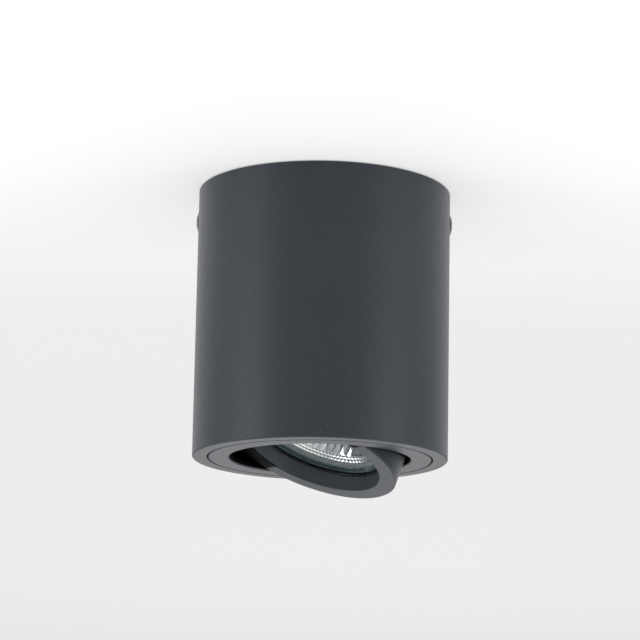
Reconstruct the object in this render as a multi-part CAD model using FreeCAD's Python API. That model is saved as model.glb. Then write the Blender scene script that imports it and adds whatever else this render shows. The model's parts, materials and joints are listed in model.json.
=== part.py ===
"""Surface mounted ceiling spotlight with a turning, tilting lamp ring.

Units are millimetres. Z is up and the ceiling is the plane z = 0, so the light hangs below it, on the
Z axis. The two side screws lie on the X axis. The shapes are drawn in three frames:

- the housing's, which is the part's own frame;
- the trim's, turned about Z so that its +X is the way the beam leans;
- the lamp's, whose origin is the tilt pivot, with +Z from the beam back to the lampholder.

Sizes run from the lamp outwards: lamp, lamp ring, opening, trim ring, housing.
"""

import FreeCAD, Part
import math
import os

# --- Lamp: a reflector lamp with a twist-and-lock base -------------------------------------------
lamp_diameter = 49.5
lamp_rim_height = 4.2
lamp_base_plane = 47.5          # front of the lamp to the face that the pins stand on
lamp_glass_wall = 1.5
lamp_cover_thickness = 2.0
bowl_focal_length = 5.3
bowl_bore = 13.0                # hole at the back of the bowl, for the burner
base_length = 23.0
base_width = 15.0
base_height = 13.0
base_bevel = 2.0
pin_spacing = 10.0
pin_neck_diameter = 3.0
pin_head_diameter = 4.8
pin_head_height = 2.6
pin_length = 7.0
burner_diameter = 9.0
burner_length = 17.0
burner_wall = 0.9
pinch_width = 7.6
pinch_thickness = 3.0
pinch_web = 4.33                # ceramic left between the pinch's slot and the base's plane
filament_diameter = 1.3
filament_length = 5.0
filament_lead_diameter = 0.5

# --- Lampholder ----------------------------------------------------------------------------------
holder_length = 28.0
holder_width = 17.0
holder_height = 18.0
holder_wall = 1.8
holder_cover_thickness = 1.0
pin_grip_clearance = 0.8        # holder's floor to the underside of the pin heads
holder_bevel = 1.2
pin_slot_clearance = 0.4
pin_slot_twist = 25.0           # degrees that the lamp turns to lock
contact_thickness = 0.5
contact_width = 5.0
contact_height = 5.5
contact_gap = 0.05              # pin head to contact
contact_foot = 1.4
barrel_wall = 0.5
barrel_length = 3.5
cover_screw_diameter = 2.0
cover_screw_head_diameter = 3.8
cover_screw_head_height = 1.3
cover_screw_length = 6.0
cover_hole_clearance = 0.1      # on the radius, round the sleeves and the screws

# --- Lamp ring: the tilting ring that carries the lamp -------------------------------------------
lamp_side_clearance = 0.55
bore_flare = 0.8                # how much wider the bore is at its mouth than at the lamp
lamp_recess_depth = 6.9         # ring face to lamp front
ring_face_width = 6.6
ring_face_thickness = 3.0
ring_wall = 2.0
ring_height = 16.5
ring_edge_chamfer = 0.4
bore_edge_chamfer = 0.3
lamp_shoulder_width = 1.4
lamp_shoulder_height = 2.2
lamp_seat_gap = 0.05
pivot_depth = 8.5               # ring face to tilt axis, along the beam
tilt_at_rest = 22.0
tilt_limit = 30.0               # either way from straight down
beam_azimuth = 215.0            # the way the beam leans, as the light is drawn

# --- Retaining clip for the lamp -----------------------------------------------------------------
clip_wire_diameter = 1.2
clip_overlap = 0.25             # how far the wire reaches in over the lamp's rim
clip_groove_clearance = 0.15
clip_gap_angle = 26.0
clip_bend_radius = 1.8
clip_tail_length = 3.0
clip_azimuth = 50.0             # turns the clip's gap to the side away from the beam's lean

# --- Tilt pivots ---------------------------------------------------------------------------------
pivot_shoulder_diameter = 4.0
pivot_fit_clearance = 0.06
pivot_thread_diameter = 3.0
pivot_thread_length = 4.2
pivot_head_diameter = 6.8
pivot_head_height = 1.7
pivot_slot_width = 1.0
pivot_slot_depth = 0.8
pivot_flat_depth = 0.5
pivot_boss_diameter = 9.0
friction_washer_diameter = 8.6
stop_lug_length = 2.2
stop_lug_base = 1.0             # tilt axis to the lug's underside
stop_lug_height = 2.0
stop_lug_reach = 1.05           # overlap of the lug with the ear, across the ear's thickness
stop_margin = 0.5               # degrees past tilt_limit at which lug and ear meet

# --- Trim ring -----------------------------------------------------------------------------------
swing_clearance = 0.31
opening_edge_radius = 0.7
trim_face_width = 7.9
trim_thickness = 2.5
trim_edge_chamfer = 0.25
trim_web = 0.625                # plate left under the clips' threaded holes
trim_seat_clearance = 0.15
collar_height = 2.3
collar_wall = 1.5
collar_clearance = 0.3
ear_thickness = 2.0
ear_width = 12.0
ear_rise = 9.0                  # above the tilt axis
ear_offset = 0.35               # opening edge to the ear's inner face
ear_side_play = 0.05

# --- Spring clips that hold the trim ring up -----------------------------------------------------
leaf_width = 8.0
leaf_thickness = 0.5
leaf_foot_inset = 1.2           # opening edge to the end of the foot
leaf_bulge = 2.4                # reach past the ledge's edge
leaf_heel_rise = 1.0
leaf_crest_height = 1.5
leaf_tip_lean = 1.0
leaf_rise = 12.0
leaf_play = 0.2
leaf_slot_clearance = 1.2
leaf_screw_diameter = 2.5
leaf_screw_head_diameter = 4.0
leaf_screw_head_height = 1.2
leaf_screw_clearance = 0.1
stop_finger_reach = 1.9         # only on the first clip, to meet the stop rib
stop_finger_width = 4.0
stop_finger_lift = 0.2

# --- Housing -------------------------------------------------------------------------------------
trim_gap = 0.5
housing_rim_width = 5.6
housing_height = 103.0
housing_wall = 2.6
housing_edge_chamfer = 0.4
ledge_width = 1.8
ledge_thickness = 1.9
ledge_edge_chamfer = 0.6
stop_rib_depth = 1.6
stop_rib_width = 3.0
stop_rib_height = 12.0

# --- Side screws ---------------------------------------------------------------------------------
side_screw_drop = 11.7          # ceiling to screw axis
side_screw_diameter = 4.0
side_screw_hole_clearance = 0.25
side_screw_head_diameter = 9.0
side_screw_head_height = 1.6
side_screw_head_edge = 0.45
side_screw_length = 10.0
spotface_depth = 0.7
spotface_clearance = 0.1
cross_width = 1.1
cross_length = 4.6
cross_depth = 0.9

# --- Ceiling bracket -----------------------------------------------------------------------------
bracket_thickness = 1.5
bracket_width = 22.0
bracket_neck = 6.0              # length over which the strap narrows to its tabs
tab_width = 14.0
tab_drop = 18.5
tab_corner_clearance = 0.45
bend_radius = 1.2
ceiling_slot_spacing = 60.0
ceiling_slot_width = 4.5
ceiling_slot_length = 12.0
tab_corner_radius = 2.5

# --- Terminal block and earth --------------------------------------------------------------------
pole_pitch = 8.5
pole_count = 3
block_depth = 17.0              # along Y, the way the wires enter
block_height = 12.0
block_edge = 2.2                # block end beyond the outer poles' tubes
block_bevel = 1.0
tube_diameter = 5.2
tube_bore = 3.2
tube_inset = 1.2
tube_seat_clearance = 0.05
clamp_screw_diameter = 2.6
clamp_screw_head_clearance = 0.1
clamp_screw_spacing = 8.0
clamp_screw_length = 4.6
clamp_screw_well = 3.8
block_screw_diameter = 3.0
block_screw_head_diameter = 5.5
block_screw_head_height = 1.8
block_screw_clearance = 0.1
block_screw_well = 3.2          # depth of the head's well in the block's underside
earth_screw_offset = 18.0
earth_screw_diameter = 4.0
earth_screw_head_diameter = 7.0
earth_screw_head_height = 2.2
earth_screw_length = 3.2
ring_terminal_diameter = 8.0
ring_terminal_thickness = 0.8
crimp_diameter = 3.4
crimp_length = 5.0
crimp_neck_width = 2.2
crimp_root = 0.5                # how far the crimp runs back over its neck
crimp_wire_stop = 1.0           # solid metal between the neck and the wire

# --- Wires ---------------------------------------------------------------------------------------
lead_diameter = 2.0
sleeve_bore = 2.3
sleeve_diameter = 3.2
lead_spacing = 3.5              # between the pair, where the sleeves end
lead_stub = 3.0                 # wire of the upper pair that stays inside a sleeve
lead_grip = 5.5                 # wire inside a terminal tube
lead_step = 10.0                # the wires' bends are placed in steps of this length
lead_turn_share = 0.6           # height where the sleeves end, from their rise to the block's underside
lead_bend_wait = 6.0            # straight wire past a sleeve's end
sleeve_rise = 7.5               # straight sleeve above the lampholder's cover

# --- Small screws, cuts and bends in general -----------------------------------------------------
screw_slot_width = 0.8
screw_slot_depth = 0.6
thread_clearance = 0.05         # tapped hole to the screw's plain shank, on the radius
cut_margin = 1.0                # how far a cut runs past the face that it opens
arc_share = 0.45                # of the shorter run, that a wire's bend takes up

# --- Worked out from the sizes above -------------------------------------------------------------
lamp_radius = lamp_diameter / 2
bore_radius = lamp_radius + lamp_side_clearance
mouth_radius = bore_radius + bore_flare
ring_radius = mouth_radius + ring_face_width
swing_radius = math.hypot(ring_radius, pivot_depth - ring_edge_chamfer)
opening_radius = swing_radius + swing_clearance
trim_radius = opening_radius + trim_face_width
recess_radius = trim_radius + trim_gap
ledge_radius = recess_radius - ledge_width
housing_radius = recess_radius + housing_rim_width
inner_radius = housing_radius - housing_wall

bottom_z = -housing_height
trim_top_z = bottom_z + trim_thickness
ledge_low_z = trim_top_z + trim_seat_clearance
ledge_top_z = ledge_low_z + ledge_thickness
pivot_z = bottom_z + pivot_depth
collar_radius = ledge_radius - collar_clearance

ring_face_s = -pivot_depth
lamp_front_s = ring_face_s + lamp_recess_depth
lamp_rim_back_s = lamp_front_s + lamp_rim_height
base_plane_s = lamp_front_s + lamp_base_plane
holder_top_s = base_plane_s + holder_height
holder_floor_s = base_plane_s + pin_length - pin_head_height - pin_grip_clearance
cover_low_s = holder_top_s - holder_cover_thickness
contact_y = pin_spacing / 2 + pin_head_diameter / 2 + contact_gap
lead_hole_y = contact_y + contact_thickness / 2

ear_inner = opening_radius + ear_offset
ear_outer = ear_inner + ear_thickness
pivot_flat = ring_radius - pivot_flat_depth

tab_outer = math.sqrt((inner_radius - tab_corner_clearance) ** 2 - (tab_width / 2) ** 2)
block_length = (pole_count - 1) * pole_pitch + tube_diameter + 2 * block_edge
block_top_z = -bracket_thickness
pole_z = block_top_z - block_height / 2
lead_end_y = block_depth / 2 - tube_inset - lead_grip

X = FreeCAD.Vector(1, 0, 0)
Y = FreeCAD.Vector(0, 1, 0)
Z = FreeCAD.Vector(0, 0, 1)
ORIGIN = FreeCAD.Vector(0, 0, 0)


def point(x, y, z):
    return FreeCAD.Vector(x, y, z)


# --- Shape helpers -------------------------------------------------------------------------------
def turned(outline):
    """A solid of revolution about Z from (radius, height) corners."""
    corners = [point(r, 0, z) for r, z in outline]
    face = Part.Face(Part.makePolygon(corners + corners[:1]))
    return face.revolve(ORIGIN, Z, 360)


def washer(outer, inner, low, high):
    """A ring about Z between two radii and two heights."""
    return turned([(inner, low), (outer, low), (outer, high), (inner, high)])


def rod(radius, start, end):
    """A round bar between two points."""
    along = end - start
    return Part.makeCylinder(radius, along.Length, start, along)


def block(low, high):
    """A box between its lowest and highest corners."""
    size = high - low
    return Part.makeBox(size.x, size.y, size.z, low)


def stadium(length, width, low, high):
    """An upright bar with half-round ends, its long side along Y."""
    straight = length - width
    body = block(point(-width / 2, -straight / 2, low), point(width / 2, straight / 2, high))
    for side in (-1, 1):
        end = point(0, side * straight / 2, low)
        body = body.fuse(Part.makeCylinder(width / 2, high - low, end))
    return body.removeSplitter()


def bevelled(shape, size, height):
    """The shape with a chamfer on every edge that lies at one height."""
    edges = [e for e in shape.Edges if flat_at(e, height)]
    return shape.makeChamfer(size, edges)


def flat_at(edge, height):
    box = edge.BoundBox
    return abs(box.ZMin - height) < 1e-6 and abs(box.ZMax - height) < 1e-6


def strip(line, thickness, width):
    """A bent flat strip in the XZ plane, centred on Y: the line is its left side, mitred at the bends."""
    far_side = []
    for i, (x, z) in enumerate(line):
        before = line[max(i - 1, 0)]
        after = line[min(i + 1, len(line) - 1)]
        normals = []
        for a, b in ((before, (x, z)), ((x, z), after)):
            run = math.hypot(b[0] - a[0], b[1] - a[1])
            if run > 0:
                normals.append((-(b[1] - a[1]) / run, (b[0] - a[0]) / run))
        nx = sum(n[0] for n in normals) / len(normals)
        nz = sum(n[1] for n in normals) / len(normals)
        scale = thickness / (nx * nx + nz * nz)
        far_side.append((x + nx * scale, z + nz * scale))
    corners = [point(x, -width / 2, z) for x, z in line + far_side[::-1]]
    return Part.Face(Part.makePolygon(corners + corners[:1])).extrude(Y * width)


def route(points, more_start, more_end):
    """Straight runs joined by tangent arcs, each as large as its two runs allow.

    The first and the last run are then made longer, or shorter where the value is negative.
    """
    edges = []
    start = points[0] - (points[1] - points[0]).normalize() * more_start
    finish = points[-1] + (points[-1] - points[-2]).normalize() * more_end
    for before, corner, after in zip(points, points[1:], points[2:]):
        back = (before - corner).normalize()
        ahead = (after - corner).normalize()
        tangent = arc_share * min((before - corner).Length, (after - corner).Length)
        turn = math.pi - back.getAngle(ahead)
        radius = tangent / math.tan(turn / 2)
        middle = (back + ahead).normalize()
        depth = radius / math.cos(turn / 2) - radius
        arc_start = corner + back * tangent
        arc_end = corner + ahead * tangent
        edges.append(Part.LineSegment(start, arc_start).toShape())
        edges.append(Part.Arc(arc_start, corner + middle * depth, arc_end).toShape())
        start = arc_end
    edges.append(Part.LineSegment(start, finish).toShape())
    return Part.Wire(edges)


def tube(points, diameter, bore=0.0, more_start=0.0, more_end=0.0):
    """A round wire, or a sleeve with a bore, along a route."""
    path = route(points, more_start, more_end)
    heading = (points[1] - points[0]).normalize()

    def swept(across):
        ring = Part.Wire(Part.makeCircle(across / 2, points[0] - heading * more_start, heading))
        return path.makePipeShell([ring], True, False)

    body = swept(diameter)
    return body.cut(swept(bore)) if bore else body


def cross_recess(top):
    """The two crossing slots of a cross-head screw, cut down from z = top."""
    half, thin = cross_length / 2, cross_width / 2
    low = top - cross_depth
    high = top + cut_margin
    slots = block(point(-half, -thin, low), point(half, thin, high))
    return slots.fuse(block(point(-thin, -half, low), point(thin, half, high)))


def slot_cut(width, length, depth, top):
    """A straight screwdriver slot, cut down from z = top."""
    return block(point(-length, -width / 2, top - depth), point(length, width / 2, top + cut_margin))


def domed_head(radius, height, edge):
    """A low domed screw head, flat side on z = 0."""
    rise = height - edge
    sphere_radius = (radius ** 2 + rise ** 2) / (2 * rise)
    dome = Part.makeSphere(sphere_radius, point(0, 0, height - sphere_radius))
    return Part.makeCylinder(radius, height).common(dome)


def slotted_screw(shank_diameter, shank_length, head_diameter, head_height):
    """A cheese-head screw along Z: the head above z = 0 and the shank below it."""
    head = Part.makeCylinder(head_diameter / 2, head_height)
    head = bevelled(head, head_height / 5, head_height)
    head = head.cut(slot_cut(screw_slot_width, head_diameter, screw_slot_depth, head_height))
    return head.fuse(Part.makeCylinder(shank_diameter / 2, shank_length, point(0, 0, -shank_length)))


def placed(shape, turns=(), shift=ORIGIN):
    """A copy turned about axes through the origin, in order, and then moved."""
    moved = shape.copy()
    for axis, angle in turns:
        moved.rotate(ORIGIN, axis, angle)
    moved.translate(shift)
    return moved


def in_trim_frame(shape):
    """From the trim's frame to the part's: +X becomes the way the beam leans."""
    return placed(shape, [(Z, beam_azimuth)])


def in_lamp_frame(shape):
    """From the lamp's frame to the part's: tilted at the pivot, then turned with the trim."""
    tilted = placed(shape, [(Y, -tilt_at_rest)], point(0, 0, pivot_z))
    return in_trim_frame(tilted)


def aimed_point(x, y, s):
    """Where a point of the lamp's frame lies in the part's frame."""
    turn = FreeCAD.Rotation(Z, beam_azimuth)
    tilt = FreeCAD.Rotation(Y, -tilt_at_rest)
    return turn.multVec(tilt.multVec(point(x, y, s)) + point(0, 0, pivot_z))


# --- Housing and what is fixed to the ceiling ----------------------------------------------------
def housing():
    edge = housing_edge_chamfer
    mouth = trim_edge_chamfer
    shell = turned([
        (inner_radius, 0), (housing_radius - edge, 0), (housing_radius, -edge),
        (housing_radius, bottom_z + edge), (housing_radius - edge, bottom_z),
        (recess_radius + mouth, bottom_z), (recess_radius, bottom_z + mouth),
        (recess_radius, ledge_low_z), (ledge_radius, ledge_low_z),
        (ledge_radius, ledge_top_z - ledge_edge_chamfer),
        (ledge_radius + ledge_edge_chamfer, ledge_top_z), (inner_radius, ledge_top_z),
    ])
    rib_root = inner_radius + housing_wall / 2
    rib = block(
        point(inner_radius - stop_rib_depth, -stop_rib_width / 2, ledge_top_z),
        point(rib_root, stop_rib_width / 2, ledge_top_z + stop_rib_height),
    )
    shell = shell.fuse(placed(rib, [(Z, beam_azimuth + 180)]))
    hole = side_screw_diameter / 2 + side_screw_hole_clearance
    spot = side_screw_head_diameter / 2 + spotface_clearance
    for side in (-1, 1):
        inside = point(side * (inner_radius - housing_wall), 0, -side_screw_drop)
        seat = point(side * (housing_radius - spotface_depth), 0, -side_screw_drop)
        outside = point(side * (housing_radius + housing_wall), 0, -side_screw_drop)
        shell = shell.cut(rod(hole, inside, outside)).cut(rod(spot, seat, outside))
    return shell


def side_screw(side):
    radius = side_screw_diameter / 2 - thread_clearance
    head = domed_head(side_screw_head_diameter / 2, side_screw_head_height, side_screw_head_edge)
    head = head.cut(cross_recess(side_screw_head_height))
    shank = Part.makeCylinder(radius, side_screw_length, point(0, 0, -side_screw_length))
    seat = point(side * (housing_radius - spotface_depth), 0, -side_screw_drop)
    return placed(head.fuse(shank), [(Y, side * 90)], seat)


def bracket_section():
    """The strap's bent section: flat against the ceiling, with a tab bent down at each end."""
    outer = tab_outer
    inner = outer - bracket_thickness
    bend = bend_radius + bracket_thickness
    turn_in = outer - bend
    low = -tab_drop
    quarter = math.sqrt(0.5)

    def arc(side, radius, start, end):
        middle = point(side * (turn_in + radius * quarter), 0, -bend + radius * quarter)
        return Part.Arc(start, middle, end).toShape()

    def line(start, end):
        return Part.LineSegment(start, end).toShape()

    left_top, right_top = point(-turn_in, 0, 0), point(turn_in, 0, 0)
    left_out, right_out = point(-outer, 0, -bend), point(outer, 0, -bend)
    left_in, right_in = point(-inner, 0, -bend), point(inner, 0, -bend)
    left_under, right_under = point(-turn_in, 0, -bracket_thickness), point(turn_in, 0, -bracket_thickness)
    return Part.Face(Part.Wire([
        line(point(-outer, 0, low), left_out), arc(-1, bend, left_out, left_top),
        line(left_top, right_top), arc(1, bend, right_top, right_out),
        line(right_out, point(outer, 0, low)), line(point(outer, 0, low), point(inner, 0, low)),
        line(point(inner, 0, low), right_in), arc(1, bend_radius, right_in, right_under),
        line(right_under, left_under), arc(-1, bend_radius, left_under, left_in),
        line(left_in, point(-inner, 0, low)), line(point(-inner, 0, low), point(-outer, 0, low)),
    ]))


def bracket_plan():
    """The strap seen from above: wide on the ceiling, narrower at the tabs."""
    wide, narrow = bracket_width / 2, tab_width / 2
    turn_in = tab_outer - bend_radius - bracket_thickness
    low = -tab_drop - cut_margin
    right_side = [(turn_in - bracket_neck, wide), (turn_in, narrow), (tab_outer + cut_margin, narrow)]
    half = right_side + [(x, -y) for x, y in right_side[::-1]]
    corners = [point(x, y, low) for x, y in half + [(-x, -y) for x, y in half]]
    return Part.Face(Part.makePolygon(corners + corners[:1])).extrude(Z * (tab_drop + 2 * cut_margin))


def through_strap(x, radius):
    """A round cut down through the strap's flat part."""
    return Part.makeCylinder(radius, 3 * bracket_thickness, point(x, 0, -2 * bracket_thickness))


def ceiling_slot(centre):
    """A slot along X for a ceiling screw."""
    half_run = (ceiling_slot_length - ceiling_slot_width) / 2
    cut = block(
        point(centre - half_run, -ceiling_slot_width / 2, -2 * bracket_thickness),
        point(centre + half_run, ceiling_slot_width / 2, bracket_thickness),
    )
    for end in (-half_run, half_run):
        cut = cut.fuse(through_strap(centre + end, ceiling_slot_width / 2))
    return cut


def ceiling_bracket():
    low = -tab_drop
    strap = bracket_section().extrude(Y * bracket_width)
    strap.translate(point(0, -bracket_width / 2, 0))
    strap = strap.common(bracket_plan())
    corners = [e for e in strap.Edges if abs(e.Length - bracket_thickness) < 1e-6 and flat_at(e, low)]
    strap = strap.makeFillet(tab_corner_radius, corners)
    for side in (-1, 1):
        strap = strap.cut(ceiling_slot(side * ceiling_slot_spacing / 2))
        tapped = rod(
            side_screw_diameter / 2,
            point(side * (tab_outer - bracket_thickness - cut_margin), 0, -side_screw_drop),
            point(side * (tab_outer + cut_margin), 0, -side_screw_drop),
        )
        strap = strap.cut(tapped)
    for x in block_screw_places():
        strap = strap.cut(through_strap(x, block_screw_diameter / 2))
    return strap.cut(through_strap(earth_screw_offset, earth_screw_diameter / 2))


def pole_places():
    first = -(pole_count - 1) / 2
    return [(first + i) * pole_pitch for i in range(pole_count)]


def block_screw_places():
    """Midway between neighbouring poles, at the two ends of the row."""
    middles = [(a + b) / 2 for a, b in zip(pole_places(), pole_places()[1:])]
    return sorted({middles[0], middles[-1]})


def terminal_block():
    low_z = block_top_z - block_height
    body = block(
        point(-block_length / 2, -block_depth / 2, low_z),
        point(block_length / 2, block_depth / 2, block_top_z),
    )
    body = bevelled(body, block_bevel, low_z)
    tube_hole = tube_diameter / 2 + tube_seat_clearance
    half_tube = block_depth / 2 - tube_inset
    for x in pole_places():
        body = body.cut(rod(tube_hole, point(x, -half_tube, pole_z), point(x, half_tube, pole_z)))
        entry = tube_bore / 2 + tube_seat_clearance
        body = body.cut(rod(entry, point(x, -block_depth, pole_z), point(x, block_depth, pole_z)))
        for y in (-clamp_screw_spacing / 2, clamp_screw_spacing / 2):
            foot = point(x, y, low_z - cut_margin)
            body = body.cut(Part.makeCylinder(clamp_screw_well / 2, block_height / 2 + cut_margin, foot))
    shank = block_screw_diameter / 2 + block_screw_clearance
    head = block_screw_head_diameter / 2 + block_screw_clearance
    for x in block_screw_places():
        foot = point(x, 0, low_z - cut_margin)
        body = body.cut(Part.makeCylinder(shank, block_height + 2 * cut_margin, foot))
        body = body.cut(Part.makeCylinder(head, block_screw_well + cut_margin, foot))
    return body


def terminal_tubes():
    """The brass tubes that join the wires, one to a pole."""
    half_tube = block_depth / 2 - tube_inset - tube_seat_clearance
    tubes = []
    for x in pole_places():
        body = rod(tube_diameter / 2, point(x, -half_tube, pole_z), point(x, half_tube, pole_z))
        body = body.cut(rod(tube_bore / 2, point(x, -block_depth, pole_z), point(x, block_depth, pole_z)))
        for y in (-clamp_screw_spacing / 2, clamp_screw_spacing / 2):
            thread = rod(clamp_screw_diameter / 2, point(x, y, pole_z - tube_diameter), point(x, y, pole_z))
            body = body.cut(thread)
        tubes.append(body)
    return Part.Compound(tubes)


def clamp_screws():
    """Two screws to a pole, standing in the tubes' threads with their slots down."""
    head_height = (clamp_screw_length - tube_diameter / 2) / 2
    shank = clamp_screw_diameter - 2 * thread_clearance
    head = clamp_screw_well - 2 * clamp_screw_head_clearance
    tip = pole_z - lead_diameter / 2 - tube_seat_clearance
    screws = []
    for x in pole_places():
        for y in (-clamp_screw_spacing / 2, clamp_screw_spacing / 2):
            screw = slotted_screw(shank, clamp_screw_length - head_height, head, head_height)
            seat = point(x, y, tip - (clamp_screw_length - head_height))
            screws.append(placed(screw, [(X, 180)], seat))
    return Part.Compound(screws)


def block_screws():
    """The two screws that hold the terminal block up against the bracket."""
    head_seat = block_top_z - block_height + block_screw_well
    length = -head_seat - block_screw_clearance
    screws = []
    for x in block_screw_places():
        screw = slotted_screw(
            block_screw_diameter - 2 * thread_clearance, length, block_screw_head_diameter,
            block_screw_head_height,
        )
        screws.append(placed(screw, [(X, 180)], point(x, 0, head_seat)))
    return Part.Compound(screws)


def ring_terminal():
    """The tinned ring and crimp on the end of the earth wire, under the earth screw."""
    top = -bracket_thickness
    low = top - ring_terminal_thickness
    centre = point(earth_screw_offset, 0, low)
    flat = Part.makeCylinder(ring_terminal_diameter / 2, ring_terminal_thickness, centre)
    reach = crimp_start_y()
    neck = block(
        point(earth_screw_offset - crimp_neck_width / 2, 0, low),
        point(earth_screw_offset + crimp_neck_width / 2, reach, top),
    )
    crimp_z = top - crimp_diameter / 2
    crimp_end = reach + crimp_length
    crimp = rod(crimp_diameter / 2, point(earth_screw_offset, reach - crimp_root, crimp_z),
                point(earth_screw_offset, crimp_end, crimp_z))
    body = flat.fuse(neck).fuse(crimp)
    wire_hole = rod(lead_diameter / 2 + tube_seat_clearance,
                    point(earth_screw_offset, reach + crimp_wire_stop, crimp_z),
                    point(earth_screw_offset, crimp_end + cut_margin, crimp_z))
    body = body.cut(wire_hole)
    hole = earth_screw_diameter / 2 + tube_seat_clearance
    below = centre - Z * ring_terminal_thickness
    return body.cut(Part.makeCylinder(hole, 4 * ring_terminal_thickness, below))


def crimp_start_y():
    return ring_terminal_diameter / 2 + crimp_length / 2


def earth_screw():
    screw = slotted_screw(
        earth_screw_diameter - 2 * thread_clearance, earth_screw_length,
        earth_screw_head_diameter, earth_screw_head_height,
    )
    seat = point(earth_screw_offset, 0, -bracket_thickness - ring_terminal_thickness)
    return placed(screw, [(X, 180)], seat)


def earth_lead():
    """From the last pole round to the ring terminal."""
    pole, terminal, step = pole_places()[-1], earth_screw_offset, lead_step
    low, high = pole_z, -bracket_thickness - crimp_diameter / 2
    outside = block_depth / 2
    points = [
        point(pole, lead_end_y, low), point(pole, outside + 0.55 * step, low),
        point(pole - 0.15 * step, outside + 1.35 * step, between(low, high, 0.12)),
        point(terminal - 0.7 * step, outside + 2.15 * step, between(low, high, 0.37)),
        point(terminal + 0.1 * step, outside + 2.25 * step, between(low, high, 0.63)),
        point(terminal + 0.55 * step, outside + 1.55 * step, between(low, high, 0.86)),
        point(terminal, outside + 0.95 * step, high),
        point(terminal, crimp_start_y() + crimp_wire_stop + tube_seat_clearance, high),
    ]
    return tube(points, lead_diameter)


def between(low, high, share):
    """The height at a share of the way from low to high."""
    return low + (high - low) * share


# --- Trim ring and its springs -------------------------------------------------------------------
def trim_ring():
    chamfer = trim_edge_chamfer
    r = opening_edge_radius
    near_middle = r - r * math.sqrt(0.5)

    def line(start, end):
        return Part.LineSegment(start, end).toShape()

    low_in, low_out = point(opening_radius + r, 0, bottom_z), point(trim_radius - chamfer, 0, bottom_z)
    side_out, top_out = point(trim_radius, 0, bottom_z + chamfer), point(trim_radius, 0, trim_top_z)
    side_in, top_in = point(opening_radius, 0, bottom_z + r), point(opening_radius, 0, trim_top_z)
    middle = point(opening_radius + near_middle, 0, bottom_z + near_middle)
    edges = [
        line(low_in, low_out), line(low_out, side_out), line(side_out, top_out), line(top_out, top_in),
        line(top_in, side_in), Part.Arc(side_in, middle, low_in).toShape(),
    ]
    plate = Part.Face(Part.Wire(edges)).revolve(ORIGIN, Z, 360)
    root_z = bottom_z + trim_thickness / 2
    collar_top = trim_top_z + collar_height
    collar = washer(collar_radius, collar_radius - collar_wall, root_z, collar_top)
    gap = leaf_width + 2 * leaf_slot_clearance
    collar = collar.cut(block(
        point(-trim_radius, -gap / 2, root_z - cut_margin),
        point(trim_radius, gap / 2, collar_top + cut_margin),
    ))
    body = plate.fuse(collar)
    hole = pivot_shoulder_diameter / 2 + pivot_fit_clearance
    for side in (-1, 1):
        near, far = sorted((side * ear_inner, side * ear_outer))
        ear = block(
            point(-ear_width / 2, near, root_z),
            point(ear_width / 2, far, pivot_z + ear_rise),
        )
        top_edges = [e for e in ear.Edges if abs(e.Length - ear_thickness) < 1e-6
                     and e.BoundBox.ZMin > pivot_z]
        ear = ear.makeFillet(ear_width / 6, top_edges)
        ear = ear.cut(rod(hole, point(0, near - cut_margin, pivot_z), point(0, far + cut_margin, pivot_z)))
        body = body.fuse(ear)
        thread = Part.makeCylinder(
            leaf_screw_diameter / 2, trim_thickness, point(side * leaf_screw_place(), 0, bottom_z + trim_web)
        )
        body = body.cut(thread)
    return body.removeSplitter()


def leaf_foot_ends():
    """Radii where a leaf spring's foot starts and where the leaf turns up."""
    return opening_radius + leaf_foot_inset, ledge_radius - leaf_bulge / 2 - leaf_thickness


def leaf_screw_place():
    return leaf_foot_ends()[0] + leaf_screw_head_diameter / 2 - leaf_foot_inset / 2


def leaf_spring(with_stop):
    """A snap spring: it bows out over the ledge and leans back in at the top."""
    start, end = leaf_foot_ends()
    z = trim_top_z
    through = ledge_radius - collar_clearance - leaf_thickness
    bulge = ledge_radius + leaf_bulge
    lip = ledge_top_z + leaf_play
    line = [
        (start, z), (end, z), (through, z + leaf_heel_rise), (through, lip - ledge_edge_chamfer),
        (bulge, lip + leaf_bulge), (bulge, lip + leaf_bulge + leaf_crest_height),
        (through - leaf_tip_lean, z + leaf_rise),
    ]
    leaf = strip(line, leaf_thickness, leaf_width)
    if with_stop:
        finger_low = lip + leaf_bulge + stop_finger_lift
        finger = block(
            point(bulge - leaf_thickness, -stop_finger_width / 2, finger_low),
            point(bulge + stop_finger_reach, stop_finger_width / 2, finger_low + leaf_thickness),
        )
        leaf = leaf.fuse(finger)
    hole = leaf_screw_diameter / 2 + leaf_screw_clearance
    shank = Part.makeCylinder(hole, 4 * leaf_thickness, point(leaf_screw_place(), 0, z - leaf_thickness))
    return leaf.cut(shank)


def leaf_screws():
    length = trim_thickness - trim_web + leaf_thickness - leaf_screw_clearance
    screw = slotted_screw(
        leaf_screw_diameter - 2 * thread_clearance, length, leaf_screw_head_diameter,
        leaf_screw_head_height,
    )
    seat = point(leaf_screw_place(), 0, trim_top_z + leaf_thickness)
    return Part.Compound([placed(screw, [], seat), placed(placed(screw, [], seat), [(Z, 180)])])


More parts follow.
